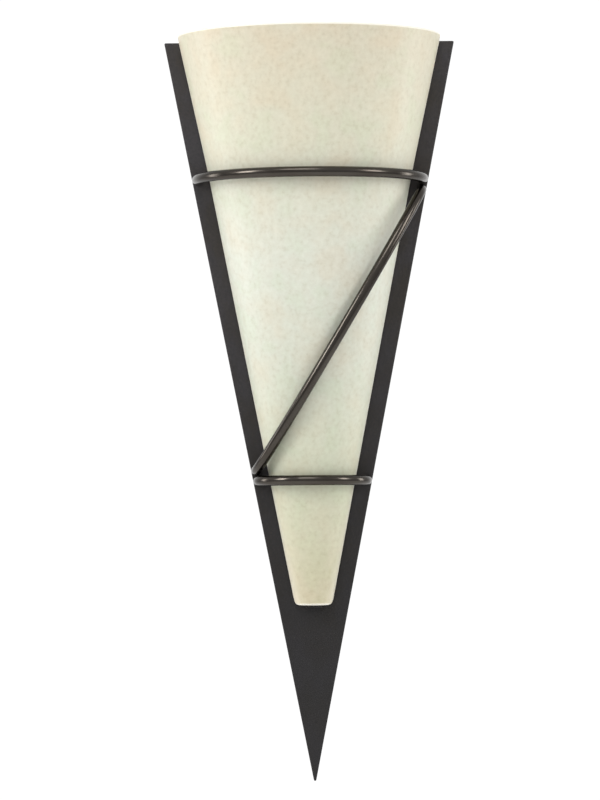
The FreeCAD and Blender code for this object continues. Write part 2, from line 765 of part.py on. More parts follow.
def make_bracket_rivets(doc):
    """Two rivets: a head on the bracket, a head behind the plate, a shank between."""
    rivets = []
    level = "Sizes.bracket_level + Sizes.rivet_height"
    for side, name in ((-1, "left"), (1, "right")):
        x = f"{side} * Sizes.rivet_spacing / 2"
        shank = cylinder(doc, f"rivet_{name}_shank", "Sizes.rivet_diameter",
                         "Sizes.plate_wall + Sizes.bracket_thickness",
                         x, "Derived.inside", level, FORWARD)
        front = cone(doc, f"rivet_{name}_front", "Sizes.rivet_head_diameter",
                     "Sizes.rivet_diameter", "Sizes.rivet_head_height",
                     x, "Derived.face - Sizes.bracket_thickness", level, FORWARD)
        back = cone(doc, f"rivet_{name}_back", "Sizes.rivet_head_diameter",
                    "Sizes.rivet_diameter", "Sizes.rivet_head_height",
                    x, "Derived.inside", level, BACKWARD)
        rivets.append(fuse(doc, f"rivet_{name}", [shank, front, back]))
    return group(doc, "bracket_rivets", rivets)


def make_nipple(doc):
    """Hollow threaded nipple and the nut under the bracket's shelf."""
    nipple = ring(doc, "holder_nipple", "Sizes.nipple_diameter", "Sizes.nipple_bore",
                  "Sizes.nipple_below + Sizes.bracket_thickness + Sizes.nipple_above",
                  "0", "Derived.lamp_y", "Sizes.bracket_level - Sizes.nipple_below")
    lock = nut(doc, "nipple_nut", "Sizes.nipple_nut_flats",
               "Sizes.nipple_diameter + 2 * Sizes.thread_clearance", "Sizes.nipple_nut_height",
               "0", "Derived.lamp_y", "Sizes.bracket_level - Sizes.nipple_nut_height")
    return [nipple, lock]


def make_holder_base(doc):
    """Lower half of the lampholder: a cup with a threaded hole in its floor."""
    y = "Derived.lamp_y"
    cup = cylinder(doc, "holder_base_cup", "Sizes.holder_diameter", "Sizes.holder_base_height",
                   "0", y, "Derived.seat")
    cavity = cylinder(doc, "holder_base_cavity", "Derived.cavity_diameter",
                      "Sizes.holder_base_height - Sizes.holder_floor",
                      "0", y, "Derived.seat + Sizes.holder_floor")
    hole = cylinder(doc, "holder_base_hole",
                    "Sizes.nipple_diameter + 2 * Sizes.thread_clearance", "Sizes.holder_floor",
                    "0", y, "Derived.seat")
    return cut(doc, "holder_base", cup, [cavity, hole])


def make_holder_shell(doc):
    """Upper half of the lampholder: a sleeve with an inward lip round the lamp's mouth."""
    y = "Derived.lamp_y"
    shell = cylinder(doc, "holder_shell_tube", "Sizes.holder_diameter",
                     "Sizes.holder_shell_height", "0", y, "Derived.base_top")
    cavity = cylinder(doc, "holder_shell_cavity", "Derived.cavity_diameter",
                      "Sizes.holder_shell_height - Sizes.holder_lip", "0", y, "Derived.base_top")
    mouth = cylinder(doc, "holder_shell_mouth", "Derived.mouth_diameter",
                     "Sizes.holder_shell_height", "0", y, "Derived.base_top")
    return cut(doc, "holder_shell", shell, [cavity, mouth])


def make_holder_core(doc):
    """Insulating insert with the well for the screw sleeve and holes for screws and leads."""
    y = "Derived.lamp_y"
    body = cylinder(doc, "holder_core_body", "Derived.core_diameter",
                    "Derived.core_top - Derived.core_bottom", "0", y, "Derived.core_bottom")
    well = cylinder(doc, "holder_core_well", "Derived.mouth_diameter",
                    "Derived.core_top - Derived.well_floor", "0", y, "Derived.well_floor")
    holes = [well]
    for side, name in ((-1, "left"), (1, "right")):
        holes.append(cylinder(doc, f"holder_core_screw_{name}",
                              "Sizes.contact_screw_diameter + 2 * Sizes.thread_clearance",
                              "Sizes.core_floor * 0.8",
                              f"{side} * Sizes.contact_screw_spacing / 2", y,
                              "Derived.core_bottom"))
        holes.append(cylinder(doc, f"holder_core_lead_{name}",
                              "Sizes.lead_diameter + Sizes.hole_clearance",
                              "Sizes.core_floor / 2",
                              f"{side} * Sizes.lead_pitch / 2", y, "Derived.core_bottom"))
    return cut(doc, "holder_core", body, holes)


def make_contacts(doc):
    """Screw sleeve, sprung tongue and terminal screws inside the lampholder."""
    y = "Derived.lamp_y"
    sleeve = ring(doc, "thread_sleeve", "Derived.sleeve_diameter", "Sizes.sleeve_bore",
                  "Sizes.sleeve_length", "0", y, "Derived.sleeve_bottom")
    tongue = new_body(doc, "centre_contact")
    section = new_sketch(tongue, "tongue_section", "XZ_Plane")
    top = "(Derived.tip_bottom - Sizes.seat_gap)"
    wall = "Sizes.contact_wall"
    half = "Sizes.contact_width"
    draw_polygon(section, [
        (f"-{half}", "Derived.well_floor"),
        (half, "Derived.well_floor"),
        (half, top),
        (f"-{half} * 0.6", top),
        (f"-{half} * 0.6", f"{top} - {wall}"),
        (f"{half} - {wall}", f"{top} - {wall}"),
        (f"{half} - {wall}", f"Derived.well_floor + {wall}"),
        (f"-{half}", f"Derived.well_floor + {wall}"),
    ])
    pad(tongue, "tongue_sheet", section, "Sizes.contact_width * 0.7", both_ways=True)
    put(tongue, y="Derived.lamp_y")
    screws = []
    for side, name in ((-1, "left"), (1, "right")):
        x = f"{side} * Sizes.contact_screw_spacing / 2"
        shank = cylinder(doc, f"contact_screw_{name}_shank", "Sizes.contact_screw_diameter",
                         "Sizes.core_floor * 0.75", x, y, "Derived.core_bottom")
        head = cylinder(doc, f"contact_screw_{name}_head", "Sizes.contact_head_diameter",
                        "Sizes.contact_head_height", x, y,
                        "Derived.core_bottom - Sizes.contact_head_height")
        screws.append(fuse(doc, f"contact_screw_{name}", [shank, head]))
    return [sleeve, tongue, group(doc, "contact_screws", screws)]


# ---------------------------------------------------------------- the lamp


def make_lamp_base(doc):
    """Screw cap, insulator and contact tip of the lamp."""
    y = "Derived.lamp_y"
    bore = "Sizes.cap_diameter - 2 * Sizes.cap_wall"
    cap = ring(doc, "lamp_cap", "Sizes.cap_diameter", bore, "Sizes.cap_length",
               "0", y, "Derived.cap_bottom")
    cup = cone(doc, "lamp_insulator", "Sizes.insulator_end", "Sizes.cap_diameter",
               "Sizes.insulator_height", "0", y, "Derived.insulator_bottom")
    tip = cylinder(doc, "lamp_tip", "Sizes.tip_diameter", "Sizes.tip_height",
                   "0", y, "Derived.tip_bottom")
    return [cap, cup, tip]


def candle_outline(radius, length, neck):
    """Half outline of a candle lamp: narrow neck, full middle, pointed top."""
    places = (
        (neck, 0.0),
        (neck + 0.14 * (radius - neck), 0.06 * length),
        (radius * 0.80, 0.22 * length),
        (radius, 0.42 * length),
        (radius * 0.82, 0.63 * length),
        (radius * 0.46, 0.83 * length),
        (radius * 0.17, 0.96 * length),
        (0.0, length),
    )
    curve = Part.BSplineCurve()
    curve.interpolate([FreeCAD.Vector(across, 0, up) for across, up in places])
    return curve.toShape()


def turned(outline, length):
    """Solid of revolution of an outline that starts at z = 0 and ends on the axis."""
    start = outline.Vertexes[0].Point
    floor = Part.makeLine(FreeCAD.Vector(0, 0, 0), start)
    axis = Part.makeLine(FreeCAD.Vector(0, 0, length), FreeCAD.Vector(0, 0, 0))
    face = Part.Face(Part.Wire([floor, outline, axis]))
    return face.revolve(FreeCAD.Vector(0, 0, 0), FreeCAD.Vector(0, 0, 1), 360)


def make_lamp_glass(doc):
    """Thin glass envelope, open at its neck."""
    radius = value(doc, "Sizes.lamp_diameter / 2")
    length = value(doc, "Sizes.lamp_length")
    neck = value(doc, "Sizes.lamp_neck / 2")
    wall = value(doc, "Sizes.lamp_wall")
    outside = turned(candle_outline(radius, length, neck), length)
    inner_length = length - 2 * wall
    inside = turned(candle_outline(radius - wall, inner_length, neck - wall), inner_length)
    item = doc.addObject("Part::Feature", "lamp_glass")
    item.Shape = outside.cut(inside)
    return put(item, y="Derived.lamp_y", z="Derived.rim")


def make_lamp_stem(doc):
    """Glass stem that carries the filament: a flare in the neck and a rod."""
    y = "Derived.lamp_y"
    flare = cone(doc, "lamp_stem_flare", "Sizes.lamp_neck - 2 * Sizes.lamp_wall - 0.6",
                 "Sizes.stem_diameter", "Sizes.stem_height / 4", "0", y, "Derived.rim")
    rod = cylinder(doc, "lamp_stem_rod", "Sizes.stem_diameter", "Sizes.stem_height",
                   "0", y, "Derived.rim")
    return fuse(doc, "lamp_stem", [flare, rod])


def make_lamp_filament(doc):
    """Two support wires that spread from the stem, and the zigzag filament between them."""
    wire = value(doc, "Sizes.filament_wire / 2")
    half = value(doc, "Sizes.filament_width / 2")
    rise = value(doc, "Sizes.filament_height")
    stem = value(doc, "Sizes.stem_height")
    root = value(doc, "Sizes.stem_diameter / 2") + wire
    points = [
        FreeCAD.Vector(-root, 0, stem * 0.5),
        FreeCAD.Vector(-root, 0, stem),
        FreeCAD.Vector(-half, 0, stem + rise),
        FreeCAD.Vector(-half / 2, 0, stem + rise * 1.5),
        FreeCAD.Vector(0, 0, stem + rise),
        FreeCAD.Vector(half / 2, 0, stem + rise * 1.5),
        FreeCAD.Vector(half, 0, stem + rise),
        FreeCAD.Vector(root, 0, stem),
        FreeCAD.Vector(root, 0, stem * 0.5),
    ]
    item = doc.addObject("Part::Feature", "lamp_filament")
    item.Shape = bent_tube(points, wire, 3 * wire)
    return put(item, y="Derived.lamp_y", z="Derived.rim")


# ---------------------------------------------------------------- tubes along a route


def bent_tube(points, radius, bend):
    """Round bar along straight runs that are joined by tangent arcs."""
    edges = []
    start = points[0]
    for before, corner, after in zip(points, points[1:], points[2:]):
        towards = (before - corner).normalize()
        away = (after - corner).normalize()
        turn = math.pi - towards.getAngle(away)
        reach = bend * math.tan(turn / 2)
        entry = corner + towards * reach
        leave = corner + away * reach
        inward = (towards + away).normalize()
        depth = bend / math.cos(turn / 2) - bend
        edges.append(Part.LineSegment(start, entry).toShape())
        edges.append(Part.Arc(entry, corner + inward * depth, leave).toShape())
        start = leave
    edges.append(Part.LineSegment(start, points[-1]).toShape())
    heading = (points[1] - points[0]).normalize()
    section = Part.Wire([Part.Circle(points[0], heading, radius).toShape()])
    return Part.Wire(edges).makePipeShell([section], True, False)


# ---------------------------------------------------------------- wiring


def make_terminal_block(doc):
    """Three-way connector: body, brass tubes and clamping screws."""
    body = block(doc, "terminal_body", "Sizes.block_width", "Sizes.block_depth",
                 "Sizes.block_height", "-Sizes.block_width / 2", "Derived.inside",
                 "Derived.block_bottom")
    holes, tubes, screws = [], [], []
    low_end = "-Sizes.block_drop - Sizes.tube_length / 2"
    for number, place in enumerate((-1, 0, 1)):
        x = f"{place} * Sizes.pole_pitch"
        holes.append(cylinder(doc, f"pole_hole_{number}",
                              "Sizes.tube_diameter + 2 * Sizes.thread_clearance",
                              "Sizes.block_height", x, "Derived.pole_y", "Derived.block_bottom"))
        tube = ring(doc, f"pole_tube_{number}", "Sizes.tube_diameter", "Sizes.tube_bore",
                    "Sizes.tube_length", x, "Derived.pole_y", low_end)
        taps = []
        for end in (-1, 1):
            level = f"-Sizes.block_drop + {end} * Sizes.clamp_screw_pitch / 2"
            name = f"{number}_{'low' if end < 0 else 'high'}"
            holes.append(cylinder(doc, f"screw_hole_{name}",
                                  "Sizes.clamp_screw_diameter + Sizes.hole_clearance",
                                  "Sizes.block_depth / 2", x, "Derived.block_back", level,
                                  FORWARD))
            start = "Derived.pole_y + Sizes.tube_diameter / 2 - 0.5"
            taps.append(cylinder(doc, f"tube_tap_{name}",
                                 "Sizes.clamp_screw_diameter + 2 * Sizes.thread_clearance",
                                 "Sizes.tube_diameter", x, "Derived.pole_y", level, BACKWARD))
            screws.append(cylinder(doc, f"clamp_screw_{name}", "Sizes.clamp_screw_diameter",
                                   "Sizes.clamp_screw_length", x, start, level, BACKWARD))
        tubes.append(cut(doc, f"pole_insert_{number}", tube, taps))
    holes.append(cylinder(doc, "block_screw_hole",
                          "Sizes.small_screw_diameter + Sizes.hole_clearance",
                          "Sizes.block_depth", "Derived.block_screw_x", "Derived.block_back",
                          "-Sizes.block_drop", FORWARD))
    return [
        cut(doc, "terminal_block", body, holes),
        group(doc, "terminal_tubes", tubes),
        group(doc, "terminal_screws", screws),
    ]


def make_block_fixing(doc):
    """Screw through the terminal block and the plate, and its nut on the plate's face."""
    x = "Derived.block_screw_x"
    z = "-Sizes.block_drop"
    shank = cylinder(doc, "block_screw_shank", "Sizes.small_screw_diameter",
                     "Sizes.block_depth + Sizes.plate_wall + Sizes.small_nut_height + 1",
                     x, "Derived.block_back", z, FORWARD)
    head = cylinder(doc, "block_screw_head", "Sizes.small_head_diameter",
                    "Sizes.small_head_height", x, "Derived.block_back", z, BACKWARD)
    screw = fuse(doc, "block_screw", [shank, head])
    lock = nut(doc, "block_nut", "Sizes.small_nut_flats",
               "Sizes.small_screw_diameter + 2 * Sizes.thread_clearance",
               "Sizes.small_nut_height", x, "Derived.face", z, FORWARD)
    return [screw, lock]


def make_earth_point(doc):
    """Earth screw from the front, with its tag, washer and nut behind the plate."""
    x = "Sizes.earth_across"
    z = "Sizes.earth_level"
    bore = "Sizes.stud_diameter + 2 * Sizes.thread_clearance"
    thick = "Sizes.washer_thickness"
    shank = cylinder(doc, "earth_screw_shank", "Sizes.stud_diameter",
                     f"Sizes.plate_wall + 2 * {thick} + Sizes.nut_height + 1",
                     x, "Derived.face", z, BACKWARD)
    head = cylinder(doc, "earth_screw_head", "Sizes.head_diameter", "Sizes.head_height",
                    x, "Derived.face", z, FORWARD)
    screw = fuse(doc, "earth_screw", [shank, head])
    eye = cylinder(doc, "earth_tag_eye", "Sizes.tag_width", thick, x, "Derived.inside", z, BACKWARD)
    tail = block(doc, "earth_tag_tail", "Sizes.tag_width / 2", thick, "Sizes.tag_length",
                 f"{x} - Sizes.tag_width / 4", "Derived.inside", f"{z} - Sizes.tag_length")
    barrel = cylinder(doc, "earth_tag_barrel", "Sizes.lead_diameter + 1.2", "Sizes.tag_length / 3",
                      x, f"Derived.inside + {thick} + Sizes.lead_diameter / 2",
                      f"{z} - Sizes.tag_length")
    hole = cylinder(doc, "earth_tag_hole", bore, thick, x, "Derived.inside", z, BACKWARD)
    mouth = cylinder(doc, "earth_tag_mouth", "Sizes.lead_diameter + 0.2", "Sizes.tag_length / 3",
                     x, f"Derived.inside + {thick} + Sizes.lead_diameter / 2",
                     f"{z} - Sizes.tag_length")
    tag = cut(doc, "earth_tag", fuse(doc, "earth_tag_body", [eye, tail, barrel]), [hole, mouth])
    washer = ring(doc, "earth_washer", "Sizes.tag_width", bore, thick,
                  x, f"Derived.inside + {thick}", z, BACKWARD)
    lock = nut(doc, "earth_nut", "Sizes.nut_across_flats", bore, "Sizes.nut_height",
               x, f"Derived.inside + 2 * {thick}", z, BACKWARD)
    return [screw, tag, washer, lock]


def make_lead_grommet(doc):
    """Rubber bush with a groove that the plate's hole grips."""
    z = "Sizes.grommet_level"
    front = cylinder(doc, "grommet_front", "Sizes.grommet_flange", "Sizes.grommet_lip",
                     "0", "Derived.face", z, FORWARD)
    back = cylinder(doc, "grommet_back", "Sizes.grommet_flange", "Sizes.grommet_lip",
                    "0", "Derived.inside", z, BACKWARD)
    waist = cylinder(doc, "grommet_middle", "Sizes.grommet_waist", "Sizes.plate_wall",
                     "0", "Derived.inside", z, FORWARD)
    hole = cylinder(doc, "grommet_hole", "Sizes.grommet_bore",
                    "Sizes.plate_wall + 2 * Sizes.grommet_lip",
                    "0", "Derived.inside + Sizes.grommet_lip", z, FORWARD)
    return cut(doc, "lead_grommet", fuse(doc, "grommet_body", [front, waist, back]), [hole])


def make_lead(doc, name, route, bend):
    """A lead along a route of places given by expressions."""
    points = [FreeCAD.Vector(*(value(doc, part) for part in place)) for place in route]
    item = doc.addObject("Part::Feature", name)
    item.Shape = bent_tube(points, value(doc, "Sizes.lead_diameter / 2"), value(doc, bend))
    return item


def make_leads(doc):
    """Live and neutral run up behind the plate, out through the bush and up into the holder."""
    leads = []
    start = "Derived.block_top - Sizes.lead_diameter"
    for name, pole, side in (("live_lead", -1, -1), ("neutral_lead", 0, 1)):
        x = f"{side} * Sizes.lead_pitch / 2"
        pole_x = f"{pole} * Sizes.pole_pitch"
        leads.append(make_lead(doc, name, [
            (pole_x, "Derived.pole_y", start),
            (pole_x, "Derived.pole_y", "Derived.block_top + 14"),
            (x, "Derived.pole_y", "Sizes.grommet_level - 18"),
            (x, "Derived.pole_y", "Sizes.grommet_level"),
            (x, "Derived.lamp_y", "Sizes.grommet_level"),
            (x, "Derived.lamp_y", "Derived.core_bottom + Sizes.core_floor / 3"),
        ], "Sizes.lead_bend"))
    tag_y = "Derived.inside + Sizes.washer_thickness + Sizes.lead_diameter / 2"
    tag_foot = "Sizes.earth_level - Sizes.tag_length"
    leads.append(make_lead(doc, "earth_lead", [
        ("Sizes.pole_pitch", "Derived.pole_y", start),
        ("Sizes.pole_pitch", "Derived.pole_y", "Derived.block_top + 12"),
        ("Sizes.earth_across", tag_y, f"{tag_foot} - 10"),
        ("Sizes.earth_across", tag_y, f"{tag_foot} + Sizes.tag_length / 4"),
    ], "Sizes.lead_bend"))
    return leads


# ---------------------------------------------------------------- checks and files


def check(doc, parts):
    """Stop if any object failed or any sub-part has no good shape."""
    for item in doc.Objects:
        if "Invalid" in item.State or "Error" in item.State:
            raise ValueError(f"{item.Name} failed: {item.State}")
    for item in parts:
        if item.Shape.isNull() or not item.Shape.isValid() or not item.Shape.Solids:
            raise ValueError(f"{item.Label} has no valid solid")


def main():
    """Build every sub-part and write it to parts/."""
    doc = FreeCAD.newDocument("torch_sconce")
    fill_sheet(doc, "Sizes", SIZES)
    fill_sheet(doc, "Derived", FORMULAS)
    doc.recompute()
    parts = [
        make_back_plate(doc),
        *make_level_rods(doc),
        make_diagonal_rod(doc),
        make_glass_shade(doc),
        make_shade_ledge(doc),
        make_shade_pads(doc),
        make_wall_strap(doc),
        *make_strap_fasteners(doc),
        make_holder_bracket(doc),
        make_bracket_rivets(doc),
        *make_nipple(doc),
        make_holder_base(doc),
        make_holder_shell(doc),
        make_holder_core(doc),
        *make_contacts(doc),
        *make_lamp_base(doc),
        make_lamp_glass(doc),
        make_lamp_stem(doc),
        make_lamp_filament(doc),
        *make_terminal_block(doc),
        *make_block_fixing(doc),
        *make_earth_point(doc),
        make_lead_grommet(doc),
        *make_leads(doc),
    ]
    doc.recompute()
    check(doc, parts)
    os.makedirs("parts", exist_ok=True)
    for item in parts:
        item.Shape.exportStep(f"parts/{item.Label}.step")
        box = item.Shape.BoundBox
        print(f"{item.Label:16s} solids {len(item.Shape.Solids)} volume {item.Shape.Volume:9.1f}"
              f" x {box.XMin:7.2f} {box.XMax:7.2f} y {box.YMin:7.2f} {box.YMax:7.2f}"
              f" z {box.ZMin:7.2f} {box.ZMax:7.2f}")


main()
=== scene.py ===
"""Looks of the torch sconce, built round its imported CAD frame.

Every length below is in millimetres unless its name says otherwise, and is turned to metres by
MM where a mesh is made. X is to the right, Y points into the wall and Z is up.
"""

import json
import logging
import math
from dataclasses import dataclass, field, replace
from enum import Enum
from typing import Callable

import bpy
from mathutils import Matrix, Vector

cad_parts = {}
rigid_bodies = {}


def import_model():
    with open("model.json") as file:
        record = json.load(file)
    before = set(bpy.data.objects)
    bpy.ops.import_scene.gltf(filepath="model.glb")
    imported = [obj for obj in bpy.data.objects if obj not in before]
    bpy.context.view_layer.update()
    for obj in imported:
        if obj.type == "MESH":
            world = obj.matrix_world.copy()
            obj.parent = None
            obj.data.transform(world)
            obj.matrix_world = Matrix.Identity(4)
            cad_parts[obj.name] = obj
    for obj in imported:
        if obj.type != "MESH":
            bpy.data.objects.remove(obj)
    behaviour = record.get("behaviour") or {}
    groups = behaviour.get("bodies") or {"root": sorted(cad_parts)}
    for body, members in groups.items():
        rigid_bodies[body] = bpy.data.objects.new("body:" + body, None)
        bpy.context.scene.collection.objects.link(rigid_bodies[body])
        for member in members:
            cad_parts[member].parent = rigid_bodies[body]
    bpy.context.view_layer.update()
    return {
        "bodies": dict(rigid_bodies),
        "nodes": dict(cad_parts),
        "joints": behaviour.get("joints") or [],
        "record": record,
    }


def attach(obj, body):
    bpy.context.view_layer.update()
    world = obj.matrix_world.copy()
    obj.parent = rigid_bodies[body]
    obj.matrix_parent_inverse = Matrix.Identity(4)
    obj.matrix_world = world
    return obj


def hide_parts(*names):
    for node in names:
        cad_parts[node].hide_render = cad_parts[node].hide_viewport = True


MM = 0.001
# Points nearer together than these, in metres, are merged: as a rule, after a cut, in the shade's
# grid, and in wire as fine as a filament.
MERGE = 1e-6
CUT_MERGE = 6e-6
GRID_MERGE = 2e-6
WIRE_MERGE = 1e-8
LOG = logging.getLogger("torch_sconce")

# The plate, whose tip points down.
PLATE_HALF = 100.0
PLATE_HEIGHT = 512.5
PLATE_TOP = 175.0
PLATE_TIP = PLATE_TOP - PLATE_HEIGHT
PLATE_DEPTH = 20.0
PLATE_WALL = 1.2
PLATE_FACE = -PLATE_DEPTH
PLATE_INSIDE = PLATE_FACE + PLATE_WALL
EDGE_SLOPE = PLATE_HALF / PLATE_HEIGHT

# The shade's cone, worked out from the plate: each margin is from the plate's edge to the glass.
PAD_THICK = 1.0
PAD_GAP = 0.3
TOP_MARGIN = 9.3
WAIST_MARGIN = 12.1
FOOT_MARGIN = 11.5
SHADE_TOP = PLATE_TOP + 4.0
SHADE_WAIST = 87.0
SHADE_FOOT = PLATE_TIP + 124.5
SHADE_BACK = PLATE_FACE - PAD_THICK - PAD_GAP
SHADE_TOP_HALF = PLATE_HALF - TOP_MARGIN
SHADE_WAIST_HALF = (SHADE_WAIST - PLATE_TIP) * EDGE_SLOPE - WAIST_MARGIN
SHADE_FOOT_HALF = (SHADE_FOOT - PLATE_TIP) * EDGE_SLOPE - FOOT_MARGIN
SHADE_DEPTH = 80.5
SHADE_SLOPE = (SHADE_WAIST_HALF - SHADE_FOOT_HALF) / (SHADE_WAIST - SHADE_FOOT)
SHADE_SWELL = SHADE_DEPTH / SHADE_TOP_HALF
SHADE_APEX = SHADE_FOOT - SHADE_FOOT_HALF / SHADE_SLOPE

# Places that more than one piece shares.
LAMP_AXIS = -46.0
HOLDER_RIM = 95.5
STUD_ACROSS = 30.0
STUD_HOLE = 4.4
RIVET_ACROSS = 6.0
RIVET_LEVEL = 61.0
BUSH_LEVEL = 28.0
EARTH_X = 22.0
EARTH_LEVEL = 24.0
BLOCK_SCREW_X = -5.0
BLOCK_LEVEL = -38.0

# Short names for types, and turns for pieces that are made upright.
Point = tuple[float, float]
Place = tuple[float, float, float]
Stops = tuple[tuple[float, str], ...]
Piece = bpy.types.Object
Node = bpy.types.Node
Tree = bpy.types.NodeTree

TINT = {"data_type": "RGBA", "blend_type": "MULTIPLY"}
FORWARD = Matrix.Rotation(math.radians(90), 4, "X")
BACKWARD = Matrix.Rotation(math.radians(-90), 4, "X")
UPRIGHT = Matrix.Identity(4)


# ---------------------------------------------------------------- small tools


def linear(hex_colour: str) -> tuple[float, float, float, float]:
    """Turn an sRGB hex colour to linear RGBA.

    Args:
        hex_colour: six hex digits, such as "E4DEC8".

    Returns:
        The linear colour with an alpha of 1.
    """
    values = [int(hex_colour[i:i + 2], 16) / 255 for i in (0, 2, 4)]
    bent = [v / 12.92 if v <= 0.04045 else ((v + 0.055) / 1.055) ** 2.4 for v in values]
    return (bent[0], bent[1], bent[2], 1.0)


def add_node(
    tree: Tree,
    kind: str,
    values: dict | None = None,
    links: dict | None = None,
    stops: Stops = (),
    **settings: object,
) -> Node:
    """Add one shader node with its socket values, its links and its settings.

    Args:
        tree: the node tree that gets the node.
        kind: the node's Blender type name.
        values: input socket name or index, and the value set on it.
        links: input socket name or index, and the output socket that feeds it, or a node, which
            stands for its first output in use.
        stops: (position, sRGB hex) pairs of a colour ramp.
        settings: node properties.

    Returns:
        The new node.
    """
    node = tree.nodes.new(kind)
    for name, setting in settings.items():
        setattr(node, name, setting)
    for socket, value in (values or {}).items():
        node.inputs[socket].default_value = value
    for socket, source in (links or {}).items():
        if isinstance(source, Node):
            source = next(output for output in source.outputs if output.enabled)
        tree.links.new(source, node.inputs[socket])
    if stops:
        elements = node.color_ramp.elements
        while len(elements) < len(stops):
            elements.new(0.5)
        for element, (position, colour) in zip(elements, stops):
            element.position = position
            element.color = linear(colour)
    return node


def select_only(item: Piece) -> None:
    """Make item the one selected, active object."""
    bpy.ops.object.select_all(action="DESELECT")
    item.select_set(True)
    bpy.context.view_layer.objects.active = item


def named(name: str) -> Piece:
    """Give the active object and its data a name, and return it."""
    item = bpy.context.object
    item.name = name
    item.data.name = name
    return item


def settle(item: Piece) -> None:
    """Put the object's place, turn and size into its mesh."""
    select_only(item)
    bpy.ops.object.transform_apply(location=True, rotation=True, scale=True)


def smooth(item: Piece, degrees: float = 35.0) -> None:
    """Shade the object smooth, except over edges sharper than an angle."""
    select_only(item)
    bpy.ops.object.shade_smooth_by_angle(angle=math.radians(degrees))


def tidy_mesh(item: Piece, gap: float = MERGE) -> None:
    """Merge doubled points and turn every face outwards."""
    select_only(item)
    bpy.ops.object.mode_set(mode="EDIT")
    bpy.ops.mesh.select_all(action="SELECT")
    bpy.ops.mesh.remove_doubles(threshold=gap)
    bpy.ops.mesh.normals_make_consistent(inside=False)
    bpy.ops.object.mode_set(mode="OBJECT")


def modify(item: Piece, kind: str, **settings: object) -> None:
    """Add one modifier with its settings and apply it."""
    select_only(item)
    bpy.ops.object.modifier_add(type=kind)
    modifier = item.modifiers[-1]
    for name, setting in settings.items():
        setattr(modifier, name, setting)
    bpy.ops.object.modifier_apply(modifier=modifier.name)


def soften(item: Piece, width: float = 0.2, steps: int = 2, degrees: float = 40) -> None:
    """Round every edge that is sharper than an angle, by a width in millimetres."""
    modify(item, "BEVEL", width=width * MM, segments=steps, limit_method="ANGLE",
           angle_limit=math.radians(degrees), use_clamp_overlap=True)
    smooth(item, 40)


def combine(item: Piece, other: Piece, how: str) -> None:
    """Cut, join or cross item with another closed piece, which is used up, and close the slivers
    that the cut leaves.

    Args:
        item: the piece that keeps the result.
        other: the piece that works on it.
        how: DIFFERENCE, UNION or INTERSECT.
    """
    modify(item, "BOOLEAN", operation=how, object=other, solver="EXACT")
    bpy.data.objects.remove(other)
    tidy_mesh(item, CUT_MERGE)


def joined(name: str, pieces: list[Piece]) -> Piece:
    """Make one object of several pieces."""
    bpy.ops.object.select_all(action="DESELECT")
    for piece in pieces:
        piece.select_set(True)
    bpy.context.view_layer.objects.active = pieces[0]
    if len(pieces) > 1:
        bpy.ops.object.join()
    return named(name)


def copied(item: Piece, shift: Place) -> Piece:
    """Copy a piece with its own mesh, moved by a distance in millimetres."""
    select_only(item)
    bpy.ops.object.duplicate(linked=False)
    bpy.ops.transform.translate(value=Vector(shift) * MM)
    twin = bpy.context.object
    settle(twin)
    return twin


def mirrored(item: Piece) -> Piece:
    """Copy a piece to the other side of the sconce's middle plane, with its own mesh."""
    select_only(item)
    bpy.ops.object.duplicate(linked=False)
    bpy.ops.transform.mirror(constraint_axis=(True, False, False), center_override=(0, 0, 0))
    twin = bpy.context.object
    settle(twin)
    tidy_mesh(twin)
    return twin


def paired(name: str, item: Piece) -> Piece:
    """Make one object of a piece and its mirror twin."""
    return joined(name, [item, mirrored(item)])


def stand(item: Piece, at: Place, turn: Matrix) -> None:
    """Turn a piece about its own origin, then stand it at a place in millimetres."""
    item.matrix_world = Matrix.Translation(Vector(at) * MM) @ turn
    settle(item)


def near(first: float, second: float, gap: float = 0.01) -> bool:
    """Tell whether two measures in millimetres agree."""
    return abs(first - second) < gap


def on_wall(vertex: bpy.types.MeshVertex, radius: float, low: float, high: float) -> bool:
    """Tell whether a point of an upright turned piece lies on a round wall, between two heights."""
    x, y, z = (value / MM for value in vertex.co)
    return abs(math.hypot(x, y) - radius) <= 0.02 and low <= z <= high


def draw_in(vertex: bpy.types.MeshVertex, distance: float) -> None:
    """Move a point towards the axis by a distance in millimetres."""
    scale = 1 - distance / math.hypot(vertex.co.x / MM, vertex.co.y / MM)
    vertex.co.x *= scale
    vertex.co.y *= scale


@dataclass(frozen=True)
class Thread:
    """Helical thread on a turned piece, fading out at both ends."""

    low: float
    high: float
    radius: float
    pitch: float
    depth: float
    fade: float = 1.0

    def cut(self, item: Piece) -> None:
        """Sink the thread's valleys in the wall at the thread's radius."""
        for vertex in item.data.vertices:
            if on_wall(vertex, self.radius, self.low, self.high):
                z = vertex.co.z / MM
                turn = math.atan2(vertex.co.y, vertex.co.x) / (2 * math.pi)
                wave = 0.5 - 0.5 * math.cos(2 * math.pi * (z / self.pitch - turn))
                ends = min(1.0, (z - self.low) / self.fade, (self.high - z) / self.fade)
                draw_in(vertex, self.depth * wave * ends)

    def wall(self, steps_per_turn: int = 6) -> list[Point]:
        """Profile points up the threaded wall."""
        count = max(2, round((self.high - self.low) / self.pitch * steps_per_turn))
        return [
            (self.radius, self.low + (self.high - self.low) * step / count)
            for step in range(count + 1)
        ]


@dataclass(frozen=True)
class Flutes:
    """Grip flutes round a turned piece."""

    low: float
    high: float
    radius: float
    count: int
    depth: float

    def cut(self, item: Piece) -> None:
        """Sink the flutes in the wall at the flutes' radius."""
        for vertex in item.data.vertices:
            if on_wall(vertex, self.radius, self.low, self.high):
                wave = math.cos(math.atan2(vertex.co.y, vertex.co.x) * self.count)
                draw_in(vertex, self.depth * max(0.0, wave))


